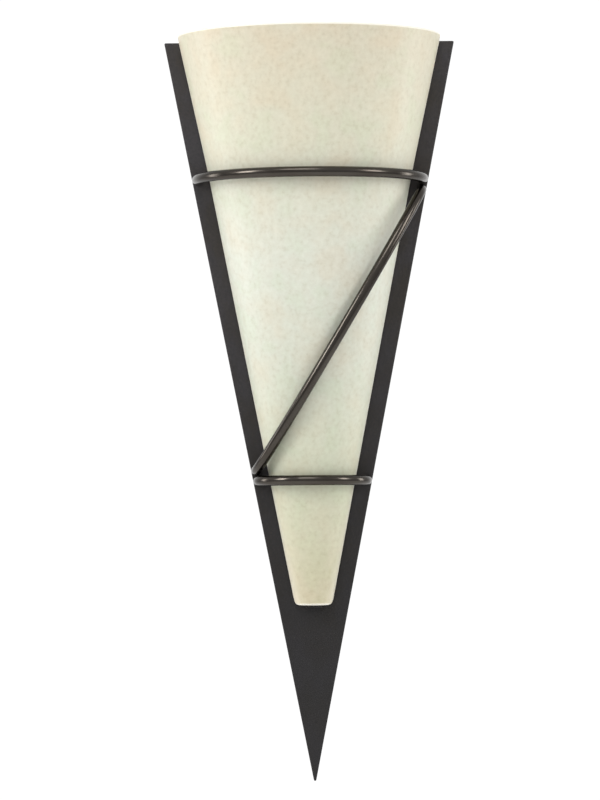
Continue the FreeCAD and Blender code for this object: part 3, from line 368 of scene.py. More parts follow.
def turned(
    name: str,
    profile: list[Point],
    at: Place,
    turn: Matrix = UPRIGHT,
    steps: int = 64,
    cuts: tuple[Thread | Flutes, ...] = (),
) -> Piece:
    """Turn a piece on the lathe: a profile extruded point by point, then spun.

    Args:
        name: the piece's name.
        profile: (radius, height) pairs in millimetres along the outline.
        at: where the axis stands, in millimetres.
        turn: turn of the piece about its own origin, from upright.
        steps: number of segments round the axis.
        cuts: threads and flutes sunk in it.

    Returns:
        The new object, with its place in its mesh.
    """
    bpy.ops.object.select_all(action="DESELECT")
    bpy.ops.mesh.primitive_plane_add(size=1.0, location=(0, 0, 0))
    item = named(name)
    first = Vector((profile[0][0] * MM, 0, profile[0][1] * MM))
    bpy.ops.object.mode_set(mode="EDIT")
    bpy.ops.mesh.select_mode(type="VERT")
    bpy.ops.mesh.select_all(action="SELECT")
    bpy.ops.mesh.merge(type="CENTER")
    bpy.ops.transform.translate(value=first)
    for (r0, z0), (r1, z1) in zip(profile, profile[1:]):
        step = Vector(((r1 - r0) * MM, 0, (z1 - z0) * MM))
        bpy.ops.mesh.extrude_vertices_move(TRANSFORM_OT_translate={"value": step})
    bpy.ops.mesh.select_all(action="SELECT")
    bpy.ops.mesh.spin(
        steps=steps, angle=2 * math.pi, center=(0, 0, 0), axis=(0, 0, 1), use_auto_merge=False
    )
    bpy.ops.object.mode_set(mode="OBJECT")
    tidy_mesh(item)
    for work in cuts:
        work.cut(item)
    stand(item, at, turn)
    smooth(item)
    return item


def rounded(corners: list[tuple[float, float, float]], steps: int = 5) -> list[Point]:
    """Outline with each corner turned to an arc.

    Args:
        corners: (across, up, radius) of each corner; a radius of 0 stays sharp.
        steps: segments in one arc.

    Returns:
        The outline's points, in order.
    """
    points: list[Point] = []
    count = len(corners)
    for index, (across, up, radius) in enumerate(corners):
        corner = Vector((across, up))
        if radius == 0:
            points.append((across, up))
            continue
        before = (Vector(corners[index - 1][:2]) - corner).normalized()
        after = (Vector(corners[(index + 1) % count][:2]) - corner).normalized()
        half = before.angle(after) / 2
        middle = corner + (before + after).normalized() * (radius / math.sin(half))
        start = corner + before * (radius / math.tan(half)) - middle
        sweep = math.pi - 2 * half
        way = 1 if before.x * after.y - before.y * after.x < 0 else -1
        for step in range(steps + 1):
            angle = way * sweep * step / steps
            spoke = Matrix.Rotation(angle, 2) @ start
            points.append((middle.x + spoke.x, middle.y + spoke.y))
    return points


def rectangle(left: float, right: float, low: float, high: float) -> list[Point]:
    """Corners of a rectangle, round it from the lower left one."""
    return [(left, low), (right, low), (right, high), (left, high)]


def dome(radius: float, level: float, rise: float) -> list[Point]:
    """Points of a turned dome between its rim and its crown.

    Args:
        radius: the dome's radius.
        level: height of its rim.
        rise: how far the crown stands above the rim.

    Returns:
        (radius, height) pairs from below to above.
    """
    angles = [math.radians(degrees) for degrees in range(15, 90, 15)]
    return [(radius * math.cos(angle), level + rise * math.sin(angle)) for angle in angles]


def prism(
    name: str, outline: list[Point], low: float, high: float, along: str
) -> Piece:
    """Thicken a flat outline.

    Args:
        name: the piece's name.
        outline: points in the plane across the axis, X before Y before Z.
        low: where the piece starts on the axis, in millimetres.
        high: where it ends.
        along: the axis, X, Y or Z.

    Returns:
        The new object.
    """
    axis = "XYZ".index(along)
    across = [index for index in range(3) if index != axis]
    bpy.ops.object.select_all(action="DESELECT")
    bpy.ops.mesh.primitive_circle_add(vertices=len(outline), radius=1.0, fill_type="NGON")
    item = named(name)
    for vertex, point in zip(item.data.vertices, outline):
        vertex.co[axis] = low * MM
        vertex.co[across[0]] = point[0] * MM
        vertex.co[across[1]] = point[1] * MM
    step = Vector((0, 0, 0))
    step[axis] = (high - low) * MM
    bpy.ops.object.mode_set(mode="EDIT")
    bpy.ops.mesh.select_all(action="SELECT")
    bpy.ops.mesh.extrude_region_move(TRANSFORM_OT_translate={"value": step})
    bpy.ops.object.mode_set(mode="OBJECT")
    tidy_mesh(item)
    return item


def drill(
    item: Piece, diameter: float, at: Place, depth: float, turn: Matrix = FORWARD
) -> None:
    """Drill a round hole from a place, along the way that turn points Z."""
    radius = diameter / 2
    bit = turned("drill_bit", [(0, 0), (radius, 0), (radius, depth), (0, depth)], at, turn, 40)
    combine(item, bit, "DIFFERENCE")


def select_edges(item: Piece, wanted: Callable[[Vector, Vector], bool]) -> None:
    """Go to edit mode with the edges selected whose two ends, in millimetres, are wanted."""
    select_only(item)
    bpy.ops.object.mode_set(mode="EDIT")
    bpy.ops.mesh.select_all(action="DESELECT")
    bpy.ops.mesh.select_mode(type="EDGE")
    bpy.ops.object.mode_set(mode="OBJECT")
    points = item.data.vertices
    for edge in item.data.edges:
        first, second = (points[number].co / MM for number in edge.vertices)
        edge.select = wanted(first, second)
    bpy.ops.object.mode_set(mode="EDIT")


def round_edges(
    item: Piece, wanted: Callable[[Vector, Vector], bool], width: float, steps: int = 5
) -> None:
    """Round chosen edges by a width in millimetres."""
    select_edges(item, wanted)
    bpy.ops.mesh.bevel(offset=width * MM, segments=steps, affect="EDGES")
    bpy.ops.object.mode_set(mode="OBJECT")
    tidy_mesh(item)


# ---------------------------------------------------------------- finishes


@dataclass(frozen=True)
class Finish:
    """What every finish shares: a name and a plain Principled shader."""

    name: str
    colour: str
    roughness: float
    metallic: float = 0.0
    ior: float = 1.5

    def start(self) -> tuple[bpy.types.Material, Tree, Node]:
        """Make the material and its shader.

        Returns:
            The material, its node tree and its Principled node.
        """
        material = bpy.data.materials.new(self.name)
        material.use_nodes = True
        tree = material.node_tree
        shader = tree.nodes["Principled BSDF"]
        shader.inputs["Base Color"].default_value = linear(self.colour)
        shader.inputs["Roughness"].default_value = self.roughness
        shader.inputs["Metallic"].default_value = self.metallic
        if self.metallic < 0.5:
            shader.inputs["IOR"].default_value = self.ior
        return material, tree, shader

    def grain(
        self,
        tree: Tree,
        grain_mm: float,
        stretch: Place = (1.0, 1.0, 1.0),
        detail: float = 3.0,
    ) -> Node:
        """Noise whose blobs are a real size.

        Args:
            tree: the material's node tree.
            grain_mm: size of one blob, in millimetres.
            stretch: how many times finer the grain is along each axis.
            detail: octaves of finer noise.

        Returns:
            The noise node.
        """
        place = add_node(tree, "ShaderNodeTexCoord")
        mapping = add_node(
            tree, "ShaderNodeMapping", {"Scale": stretch}, {"Vector": place.outputs["Object"]}
        )
        return add_node(
            tree,
            "ShaderNodeTexNoise",
            {"Scale": 1 / (grain_mm * MM) / 2, "Detail": detail, "Roughness": 0.55},
            {"Vector": mapping},
        )

    def texture(
        self,
        tree: Tree,
        shader: Node,
        relief: Node,
        depth_mm: float,
        strength: float,
        mottle: Node,
        sheen: Point,
    ) -> None:
        """Raise the surface by one pattern and vary its roughness by another, or by the same.

        Args:
            tree: the material's node tree.
            shader: its Principled node.
            relief: the pattern of the relief.
            depth_mm: depth of the relief, in millimetres.
            strength: how strongly it bends the light.
            mottle: the pattern of the roughness.
            sheen: the roughness in the pattern's lows and in its highs.
        """
        bump = add_node(
            tree,
            "ShaderNodeBump",
            {"Strength": strength, "Distance": depth_mm * MM},
            {"Height": relief},
        )
        span = add_node(
            tree,
            "ShaderNodeMapRange",
            {"From Min": 0.3, "From Max": 0.7, "To Min": sheen[0], "To Max": sheen[1]},
            {"Value": mottle},
        )
        tree.links.new(bump.outputs["Normal"], shader.inputs["Normal"])
        tree.links.new(span.outputs["Result"], shader.inputs["Roughness"])


@dataclass(frozen=True)
class TexturedPowderCoat(Finish):
    """Polyester powder coat with a fine dry texture, baked on folded steel sheet."""

    name: str = "textured_powder_coat"
    colour: str = "231F20"
    roughness: float = 0.62
    grain_mm: float = 0.9
    broad_mm: float = 9.0
    # Heights between which painted shade darkens the coat towards the tip, where less light falls.
    painted_shade_low_mm: float = -230.0
    painted_shade_high_mm: float = 40.0
    speck_share: float = 0.55
    tints: Stops = ((0.36, "302B27"), (0.5, "322E2E"), (0.64, "353235"))
    specks: Stops = ((0.35, "8E8E8E"), (0.65, "FFFFFF"))
    # Painted shade: multiplied into the colour, darker at the tip and plain near the top.
    painted_shade_stops: Stops = ((0.0, "9A9898"), (1.0, "FFFFFF"))

    def material(self) -> bpy.types.Material:
        """Make the material: near-black brown, sanded look, with painted shade that makes it darker
        towards the tip.
        """
        material, tree, shader = self.start()
        fine = self.grain(tree, self.grain_mm, detail=4.0)
        broad = self.grain(tree, self.broad_mm, (1.0, 1.0, 0.6))
        tint = add_node(tree, "ShaderNodeValToRGB", links={"Fac": broad}, stops=self.tints)
        speck = add_node(tree, "ShaderNodeValToRGB", links={"Fac": fine}, stops=self.specks)
        dusty = add_node(
            tree, "ShaderNodeMix", {0: self.speck_share}, {6: tint, 7: speck}, **TINT
        )
        # Painted shade: the coat's colour is darkened by height towards the tip, not by any real
        # change of the film.
        place = add_node(tree, "ShaderNodeTexCoord")
        split = add_node(
            tree, "ShaderNodeSeparateXYZ", links={"Vector": place.outputs["Object"]}
        )
        height = add_node(
            tree,
            "ShaderNodeMapRange",
            {"From Min": self.painted_shade_low_mm * MM, "From Max": self.painted_shade_high_mm * MM},
            {"Value": split.outputs["Z"]},
        )
        painted_shade_ramp = add_node(tree, "ShaderNodeValToRGB", links={"Fac": height}, stops=self.painted_shade_stops)
        coat = add_node(tree, "ShaderNodeMix", {0: 1.0}, {6: dusty, 7: painted_shade_ramp}, **TINT)
        tree.links.new(coat.outputs[2], shader.inputs["Base Color"])
        self.texture(tree, shader, fine, 0.14, 0.7, fine, (0.5, 0.75))
        shader.inputs["Specular IOR Level"].default_value = 0.42
        return material


@dataclass(frozen=True)
class SatinBlackNickel(Finish):
    """Black nickel plate on drawn round bar, satin: dark mirror with soft highlights along it."""

    name: str = "satin_black_nickel"
    colour: str = "46413D"
    roughness: float = 0.2
    metallic: float = 1.0
    grain_mm: float = 2.2
    broad_mm: float = 14.0
    tints: Stops = ((0.3, "433E39"), (0.7, "4C4843"))

    def material(self) -> bpy.types.Material:
        """Make the material: dark olive-brown metal with a fine waviness."""
        material, tree, shader = self.start()
        peel = self.grain(tree, self.grain_mm, detail=2.0)
        broad = self.grain(tree, self.broad_mm, detail=2.0)
        tint = add_node(tree, "ShaderNodeValToRGB", links={"Fac": broad}, stops=self.tints)
        tree.links.new(tint.outputs["Color"], shader.inputs["Base Color"])
        self.texture(tree, shader, peel, 0.02, 0.12, peel, (0.17, 0.24))
        return material


@dataclass(frozen=True)
class FleckedOpalGlass(Finish):
    """Pressed opal glass with a frit fired on it: cream, satin, full of fine threads and flecks."""

    name: str = "flecked_opal_glass"
    colour: str = "DEDBC9"
    roughness: float = 0.5
    fleck_mm: float = 1.6
    cloud_mm: float = 13.0
    # Painted highlight: a pale band this wide along the rim, the foot and the back edges; painted
    # light: a paler margin next to the back edges, where shade falls.
    highlight_band_mm: float = 1.6
    painted_light_margin_mm: float = 12.0
    painted_light_share: float = 0.6
    painted_highlight_colour: str = "E7E3D6"
    # The body's tint by height: the warm ends and cool middle are the glass's own tint, and the
    # darker foot is painted shade.
    heights: Stops = (
        (0.0, "C9C0A6"), (0.22, "CACCB7"), (0.42, "D1D3C6"),
        (0.6, "D7D9CE"), (0.8, "D5D3C1"), (1.0, "D4CDBA"),
    )
    clouds: Stops = ((0.36, "F8FBF5"), (0.46, "FBFBF8"), (0.56, "FCFAF6"), (0.66, "FCF7F1"))
    flecks: Stops = ((0.32, "F1EFEA"), (0.44, "F8F7F5"), (0.56, "FBFBFA"), (0.68, "FFFFFF"))

    def material(self) -> bpy.types.Material:
        """Make the material: milky body tinted by height, warm at its ends and cooler in its
        middle, darker towards the foot as painted shade, with painted highlights and painted light
        at its edges.
        """
        material, tree, shader = self.start()
        place = add_node(tree, "ShaderNodeTexCoord")
        split = add_node(
            tree, "ShaderNodeSeparateXYZ", links={"Vector": place.outputs["Object"]}
        )
        height = add_node(
            tree,
            "ShaderNodeMapRange",
            {"From Min": SHADE_FOOT * MM, "From Max": SHADE_TOP * MM},
            {"Value": split.outputs["Z"]},
        )
        # Partly painted shade: this ramp makes the glass darker towards the foot.
        body = add_node(tree, "ShaderNodeValToRGB", links={"Fac": height}, stops=self.heights)
        cloud = self.grain(tree, self.cloud_mm, detail=2.0)
        drift = add_node(tree, "ShaderNodeValToRGB", links={"Fac": cloud}, stops=self.clouds)
        clouded = add_node(tree, "ShaderNodeMix", {0: 1.0}, {6: body, 7: drift}, **TINT)
        fleck = self.grain(tree, self.fleck_mm, detail=4.0)
        spots = add_node(tree, "ShaderNodeValToRGB", links={"Fac": fleck}, stops=self.flecks)
        flecked = add_node(tree, "ShaderNodeMix", {0: 1.0}, {6: clouded, 7: spots}, **TINT)
        # Painted highlight and painted light: the edge mask mixes in the pale colour.
        fired = add_node(
            tree,
            "ShaderNodeMix",
            {7: linear(self.painted_highlight_colour)},
            {0: self.edge(tree, split), 6: flecked},
            data_type="RGBA",
        )
        tree.links.new(fired.outputs[2], shader.inputs["Base Color"])
        self.texture(tree, shader, fleck, 0.05, 0.15, fleck, (0.44, 0.6))
        shader.inputs["Coat Weight"].default_value = 0.2
        shader.inputs["Coat Roughness"].default_value = 0.3
        shader.inputs["Subsurface Weight"].default_value = 0.12
        shader.inputs["Subsurface Radius"].default_value = (0.004, 0.0035, 0.0028)
        shader.inputs["Subsurface Scale"].default_value = 1.0
        return material

    def edge(self, tree: Tree, split: Node) -> Node:
        """Mask of the painted highlight, a pale band along the rim, the foot and the back edges,
        and of the painted light that lifts the shade in a margin next to the back edges.

        Args:
            tree: the material's node tree.
            split: the node that gives the place along each axis.

        Returns:
            The node of the painted highlight and painted light: 1 on the rim, the foot and the two
            back edges, less in the margin.
        """
        # Painted light: paler towards the back edges, against the shade there.
        painted_light_mask = add_node(
            tree,
            "ShaderNodeMapRange",
            {
                "From Min": (SHADE_BACK - self.painted_light_margin_mm) * MM,
                "From Max": SHADE_BACK * MM,
                "To Max": self.painted_light_share,
            },
            {"Value": split.outputs["Y"]},
            interpolation_type="SMOOTHSTEP",
        )
        # Painted highlight: a pale band along the rim, the foot and the back edges.
        for axis, level, inwards in (
            ("Z", SHADE_TOP, -1), ("Z", SHADE_FOOT, 1), ("Y", SHADE_BACK, -1)
        ):
            highlight_band = add_node(
                tree,
                "ShaderNodeMapRange",
                {
                    "From Min": (level + inwards * self.highlight_band_mm * 0.6) * MM,
                    "From Max": (level + inwards * self.highlight_band_mm) * MM,
                    "To Min": 1.0,
                    "To Max": 0.0,
                },
                {"Value": split.outputs[axis]},
            )
            painted_light_mask = add_node(
                tree, "ShaderNodeMath", links={0: painted_light_mask, 1: highlight_band}, operation="MAXIMUM"
            )
        return painted_light_mask


@dataclass(frozen=True)
class PlatedMetal(Finish):
    """Bare or plated metal, rolled or turned, with fine marks along one axis."""

    name: str = "zinc_plate"
    colour: str = "A9ADB0"
    roughness: float = 0.34
    metallic: float = 1.0
    grain_mm: float = 0.8
    spangle_mm: float = 9.0
    lay: Place = (0.2, 1.0, 1.0)

    def material(self) -> bpy.types.Material:
        """Make the material: mottled sheen with faint draw marks."""
        material, tree, shader = self.start()
        marks = self.grain(tree, self.grain_mm, self.lay)
        spangle = self.grain(tree, self.spangle_mm, detail=1.0)
        sheen = (self.roughness - 0.08, self.roughness + 0.1)
        self.texture(tree, shader, marks, 0.03, 0.25, spangle, sheen)
        return material


@dataclass(frozen=True)
class Moulded(Finish):
    """Moulded or fired body: even colour, faint texture from its mould."""

    name: str = "moulded_polyamide"
    colour: str = "E6E2D8"
    roughness: float = 0.45
    grain_mm: float = 0.7
    depth_mm: float = 0.03

    def material(self) -> bpy.types.Material:
        """Make the material: spark-eroded mould texture."""
        material, tree, shader = self.start()
        skin = self.grain(tree, self.grain_mm)
        sheen = (self.roughness - 0.06, self.roughness + 0.08)
        self.texture(tree, shader, skin, self.depth_mm, 0.3, skin, sheen)
        return material


@dataclass(frozen=True)
class ClearGlass(Finish):
    """Clear blown soda-lime glass, thin enough to see the filament through."""

    name: str = "clear_blown_glass"
    colour: str = "FBFBFA"
    roughness: float = 0.02
    ior: float = 1.45
    ripple_mm: float = 6.0

    def material(self) -> bpy.types.Material:
        """Make the material: fully transmitting, with slight draw ripples."""
        material, tree, shader = self.start()
        shader.inputs["Transmission Weight"].default_value = 1.0
        ripple = self.grain(tree, self.ripple_mm, (1.0, 1.0, 0.5), detail=1.0)
        bump = add_node(
            tree, "ShaderNodeBump", {"Strength": 0.15, "Distance": 0.02 * MM}, {"Height": ripple}
        )
        tree.links.new(bump.outputs["Normal"], shader.inputs["Normal"])
        return material


@dataclass(frozen=True)
class StripedSleeving(Finish):
    """Extruded PVC sleeving of an earth lead: green with a yellow stripe along it."""

    name: str = "green_yellow_pvc"
    colour: str = "3E8F3A"
    roughness: float = 0.38
    stripe_mm: float = 2.2
    stripes: Stops = ((0.0, "3E8F3A"), (0.5, "D9C92B"))

    def material(self) -> bpy.types.Material:
        """Make the material: bands that change across the lead."""
        material, tree, shader = self.start()
        place = add_node(tree, "ShaderNodeTexCoord")
        split = add_node(
            tree, "ShaderNodeSeparateXYZ", links={"Vector": place.outputs["Object"]}
        )
        wave = add_node(
            tree,
            "ShaderNodeMath",
            {1: 1 / (self.stripe_mm * MM)},
            {0: split.outputs["Y"]},
            operation="MULTIPLY",
        )
        part = add_node(tree, "ShaderNodeMath", links={0: wave}, operation="FRACT")
        bands = add_node(tree, "ShaderNodeValToRGB", links={"Fac": part}, stops=self.stripes)
        bands.color_ramp.interpolation = "CONSTANT"
        tree.links.new(bands.outputs["Color"], shader.inputs["Base Color"])
        return material


class Metal(Enum):
    """The plated and bare metals of the hidden pieces."""

    ZINC = PlatedMetal()
    BLACK = PlatedMetal("black_passivate", "2A2829", 0.42, 0.8)
    BRASS = PlatedMetal("turned_brass", "C9A24A", 0.28, lay=(1.0, 1.0, 6.0))
    TIN = PlatedMetal("tinned_copper", "B9B9B4", 0.36)
    NICKEL = PlatedMetal("rolled_nickel_cap", "BDBBB4", 0.22, lay=(1.0, 1.0, 4.0))
    TUNGSTEN = PlatedMetal("drawn_tungsten", "6A6762", 0.4)


class Body(Enum):
    """The moulded, extruded and fired bodies of the hidden pieces."""

    HOLDER = Moulded("moulded_holder_polyester", "D9D4C6", 0.42)
    CORE = Moulded("steatite", "E9E5DA", 0.5, grain_mm=1.1)
    BLOCK = Moulded("natural_polyamide", "E7E6DF", 0.4)
    BUSH = Moulded("moulded_rubber", "141414", 0.6, grain_mm=0.5)
    PAD = Moulded("clear_silicone", "DDE0E0", 0.35, grain_mm=1.5)
    VITRITE = Moulded("black_vitrite", "0C0C10", 0.12, grain_mm=2.0, depth_mm=0.01)
    LIVE = Moulded("brown_pvc", "5A3420", 0.38)
    NEUTRAL = Moulded("blue_pvc", "2B5FA8", 0.38)


class Workshop:
    """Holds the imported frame, makes each finish once, and fits pieces to the frame's nodes."""

    def __init__(self, frame: dict) -> None:
        """Read which slot and which body each node has."""
        record = frame["record"]
        self.nodes = frame["nodes"]
        self.slots = {entry["node"]: entry["material_slot"] for entry in record["subparts"]}
        self.bodies = {
            node: body
            for body, nodes in record["behaviour"]["bodies"].items()
            for node in nodes
        }
        self._made: dict[str, bpy.types.Material] = {}

    def dress(self, item: Piece, finish: Finish) -> None:
        """Put one finish on every slot of an object, made on its first use."""
        if finish.name not in self._made:
            self._made[finish.name] = finish.material()
        if not item.material_slots:
            item.data.materials.append(self._made[finish.name])
        for slot in item.material_slots:
            slot.material = self._made[finish.name]

    def fit(self, item: Piece, node: str, finish: Finish) -> None:
        """Dress a piece and put it in a CAD node's place, on that node's body.

        Args:
            item: the piece.
            node: the CAD node that it stands for.
            finish: its finish.
        """
        self.dress(item, finish)
        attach(item, self.bodies[node])
        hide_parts(node)
        LOG.info("%s stands for %s, %d faces", item.name, node, len(item.data.polygons))

    def carry(self, node: str, finish: Finish) -> None:
        """Dress a CAD node that keeps its shape."""
        self.dress(self.nodes[node], finish)
        LOG.info("%s keeps its CAD shape, finish %s", node, finish.name)


# ---------------------------------------------------------------- the plate


@dataclass
class BackPlate:
    """Tall triangle of folded sheet steel, with its edges bent back to the wall."""

    tip_round: float = 0.9
    bend: float = 0.85
    seam: float = 0.35
    seam_past: float = 3.0
    seam_length: float = 9.0
    seam_target: Point = (0.0, 60.0)
    rivet_hole: float = 3.2
    bush_hole: float = 12.0
    block_hole: float = 3.4
    drill_depth: float = 4.0
    ledge_top: float = SHADE_FOOT - 0.3
    ledge_reach: float = 9.5
    ledge_half: float = 5.5
    ledge_height: float = 9.0
    ledge_bend: float = 1.5
    finish: TexturedPowderCoat = field(default_factory=TexturedPowderCoat)

    def outline(self, inset: float, radius: float) -> list[Point]:
        """The plate's triangle, drawn in by inset, with rounded corners.

        Args:
            inset: distance from the sheet's outer edges.
            radius: radius of its three corners.

        Returns:
            The outline's points.
        """
        slide = inset * math.hypot(1.0, EDGE_SLOPE)
        high = PLATE_TOP - inset
        across = (high - PLATE_TIP) * EDGE_SLOPE - slide
        low = PLATE_TIP + slide / EDGE_SLOPE
        return rounded([(-across, high, radius), (0.0, low, radius), (across, high, radius)])

    def tray(self) -> Piece:
        """Fold the sheet: an open tray with bends along its three edges."""
        sheet = prism("folded_back_plate", self.outline(0.0, self.tip_round), PLATE_FACE, 0.0, "Y")
        hollow = prism("hollow", self.outline(PLATE_WALL, 0.3), PLATE_INSIDE, 2.0, "Y")
        for piece, level, bend in (
            (sheet, PLATE_FACE, self.bend), (hollow, PLATE_INSIDE, self.bend - PLATE_WALL / 2)
        ):
            round_edges(piece, lambda a, b: near(a.y, level) and near(b.y, level), bend)
        combine(sheet, hollow, "DIFFERENCE")
        return sheet

    def slit(self, sheet: Piece, corner: Point) -> None:
        """Open the seam where two folded edges meet at a corner."""
        way = (Vector(self.seam_target) - Vector(corner)).normalized()
        side = Vector((-way.y, way.x)) * self.seam / 2
        start = Vector(corner) - way * self.seam_past
        end = Vector(corner) + way * self.seam_length
        outline = [tuple(start + side), tuple(start - side), tuple(end - side), tuple(end + side)]
        blade = prism("seam_blade", outline, PLATE_INSIDE + 1.0, 1.0, "Y")
        combine(sheet, blade, "DIFFERENCE")

    def ledge(self) -> Piece:
        """Folded lip that the shade's foot stands on, its free corners rounded."""
        low = self.ledge_top - PLATE_WALL
        high = low + self.ledge_height
        front = PLATE_FACE - self.ledge_reach
        section = rounded([
            (PLATE_FACE, low, self.ledge_bend),
            (front, low, 0.0),
            (front, self.ledge_top, 0.0),
            (PLATE_FACE - PLATE_WALL, self.ledge_top, 0.4),
            (PLATE_FACE - PLATE_WALL, high, 0.0),
            (PLATE_FACE, high, 0.0),
        ])
        lip = prism("folded_shade_ledge", section, -self.ledge_half, self.ledge_half, "X")
        round_edges(
            lip,
            lambda a, b: near(abs(a.x), self.ledge_half) and near(a.x, b.x)
            and near(a.y, front) and near(b.y, front),
            2.0,
        )
        soften(lip, 0.15)
        return lip

    def build(self, shop: Workshop) -> None:
        """Fold, slit and drill the plate, and fit it and its ledge."""
        sheet = self.tray()
        for corner in ((-PLATE_HALF, PLATE_TOP), (PLATE_HALF, PLATE_TOP), (0.0, PLATE_TIP)):
            self.slit(sheet, corner)
        holes = [
            (STUD_HOLE, -STUD_ACROSS, 0),
            (self.rivet_hole, -RIVET_ACROSS, RIVET_LEVEL),
            (STUD_HOLE, STUD_ACROSS, 0),
            (self.rivet_hole, RIVET_ACROSS, RIVET_LEVEL),
            (self.bush_hole, 0, BUSH_LEVEL),
            (STUD_HOLE, EARTH_X, EARTH_LEVEL),
            (self.block_hole, BLOCK_SCREW_X, BLOCK_LEVEL),
        ]
        for diameter, across, level in holes:
            drill(sheet, diameter, (across, PLATE_INSIDE + 1.0, level), self.drill_depth)
        smooth(sheet, 30)
        shop.fit(sheet, "back_plate", self.finish)
        shop.fit(self.ledge(), "shade_ledge", self.finish)


# ---------------------------------------------------------------- the shade


@dataclass
class GlassShade:
    """Half an elliptical cone of opal glass, its edges fire-polished."""

    waist_blend: float = 14.0
    depth: float = SHADE_DEPTH - 0.05
    wall: float = 4.0
    arris: float = 1.2
    ear_round: float = 3.0
    foot_round: float = 7.0
    around: int = 96
    rings: int = 48
    fine_step: float = 0.5
    corner: int = 4
    pad_levels: Point = (145.0, -155.0)
    pad_radius: float = 1.8
    pad_rim: float = 0.45
    finish: FleckedOpalGlass = field(default_factory=FleckedOpalGlass)

    def half_width(self, level: float) -> float:
        """Half the shade's outer width at a height: two straight runs that meet in a long curve."""
        flare = (SHADE_TOP_HALF - SHADE_WAIST_HALF) / (SHADE_TOP - SHADE_WAIST) - SHADE_SLOPE
        above = level - SHADE_WAIST
        reach = self.waist_blend
        if above <= -reach:
            bent = 0.0
        elif above >= reach:
            bent = above
        else:
            bent = (above + reach) ** 2 / (4 * reach)
        return SHADE_WAIST_HALF + SHADE_SLOPE * above + flare * bent

    def set_back(self, level: float) -> float:
        """How far the back edge is cut forward at a height, by the rounded corners."""
        for reach, radius in (
            (SHADE_FOOT + self.foot_round - level, self.foot_round),
            (level - SHADE_TOP + self.ear_round, self.ear_round),
        ):
            if reach > 0:
                return radius - math.sqrt(max(radius * radius - reach * reach, 0.0))
        return 0.0

    def outline(self, level: float, inset: float) -> list[Vector]:
        """Closed outline of the glass wall at a height, drawn in by inset all round.

        Args:
            level: the height.
            inset: how far the outline lies inside the wall's faces.

        Returns:
            Points anticlockwise from the middle of the right back edge, in millimetres.
        """
        half = self.half_width(level)
        deep = half * self.depth / SHADE_TOP_HALF
        edge = self.set_back(level) + inset
        rounding = max(self.arris - inset, 0.0)

        def point(inward: float, depth: float, side: int) -> Vector:
            """A point of the wall at a depth in front of the shade's back."""
            share = min(depth / (deep - inward), 1.0)
            return Vector(
                (side * (half - inward) * math.sqrt(1 - share * share), SHADE_BACK - depth, level)
            )

        def arc(inward: float, start: float) -> list[Vector]:
            """Points round the ellipse, from one back edge to the other."""
            first = math.asin(min(start / (deep - inward), 1.0))
            points = []
            for step in range(self.around + 1):
                angle = first + (math.pi - 2 * first) * step / self.around
                depth = max((deep - inward) * math.sin(angle), start)
                points.append(
                    Vector(((half - inward) * math.cos(angle), SHADE_BACK - depth, level))
                )
            return points

        corners = []
        for step in range(self.corner):
            angle = math.pi / 2 * (1 - step / self.corner)
            corners.append(
                (inset + rounding * (1 - math.cos(angle)), edge + rounding * (1 - math.sin(angle)))
            )
        start = edge + rounding
        outer = [point(inward, depth, 1) for inward, depth in corners]
        outer += arc(inset, start)
        outer += [point(inward, depth, -1) for inward, depth in reversed(corners)]
        inner = [point(self.wall - inward, depth, -1) for inward, depth in corners]
        inner += list(reversed(arc(self.wall - inset, start)))
        inner += [point(self.wall - inward, depth, 1) for inward, depth in reversed(corners)]
        return outer + inner

    def levels(self) -> list[Point]:
        """Heights and insets of the rings, from the foot's middle line to the rim's."""
        middle = self.wall / 2
        foot = [(SHADE_FOOT, middle)]
        rim = [(SHADE_TOP, middle)]
        for step in range(self.corner + 1):
            angle = math.pi / 2 * step / self.corner
            inset = self.arris * (1 - math.sin(angle))
            rise = self.arris * (1 - math.cos(angle))
            foot.append((SHADE_FOOT + rise, inset))
            rim.append((SHADE_TOP - rise, inset))
        fine, count = self.fine_step, self.rings
        lower, upper = SHADE_FOOT + self.foot_round + 1.0, SHADE_TOP - self.ear_round - self.arris
        heights = [SHADE_FOOT + self.arris + fine * step for step in range(1, 13)]
        heights += [lower + (upper - lower) * step / count for step in range(count + 1)]
        heights += [upper + fine * step for step in range(1, 6)]
        return foot + [(height, 0.0) for height in heights] + list(reversed(rim))

    def press(self) -> Piece:
        """Lay a grid round the wall, ring by ring, and close it.

        Returns:
            The shade.
        """
        rings = [self.outline(level, inset) for level, inset in self.levels()]
        count = len(rings[0])
        bpy.ops.object.select_all(action="DESELECT")
        bpy.ops.mesh.primitive_grid_add(
            x_subdivisions=count, y_subdivisions=len(rings) - 1, size=1.0
        )
        shade = named("opal_shade")
        for vertex in shade.data.vertices:
            column = round((vertex.co.x + 0.5) * count) % count
            row = round((vertex.co.y + 0.5) * (len(rings) - 1))
            vertex.co = rings[row][column] * MM
        tidy_mesh(shade, GRID_MERGE)
        smooth(shade, 40)
        return shade

    def pads(self) -> Piece:
        """Four domed silicone discs on the plate, behind the glass's back edges."""
        radius, rim = self.pad_radius, self.pad_rim
        profile = [(0, 0), (radius * 0.94, 0), (radius, 0.15), (radius, rim)]
        profile += [*dome(radius, rim, PAD_THICK - rim), (0, PAD_THICK)]
        discs = []
        for level in self.pad_levels:
            across = self.half_width(level) - self.wall / 2
            disc = turned("silicone_disc", profile, (across, PLATE_FACE, level), FORWARD, 32)
            discs += [disc, mirrored(disc)]
        return joined("silicone_pads", discs)

    def build(self, shop: Workshop) -> None:
        """Fit the shade and its pads."""
        shop.fit(self.press(), "glass_shade", self.finish)
        shop.fit(self.pads(), "shade_pads", Body.PAD.value)


# ---------------------------------------------------------------- rods


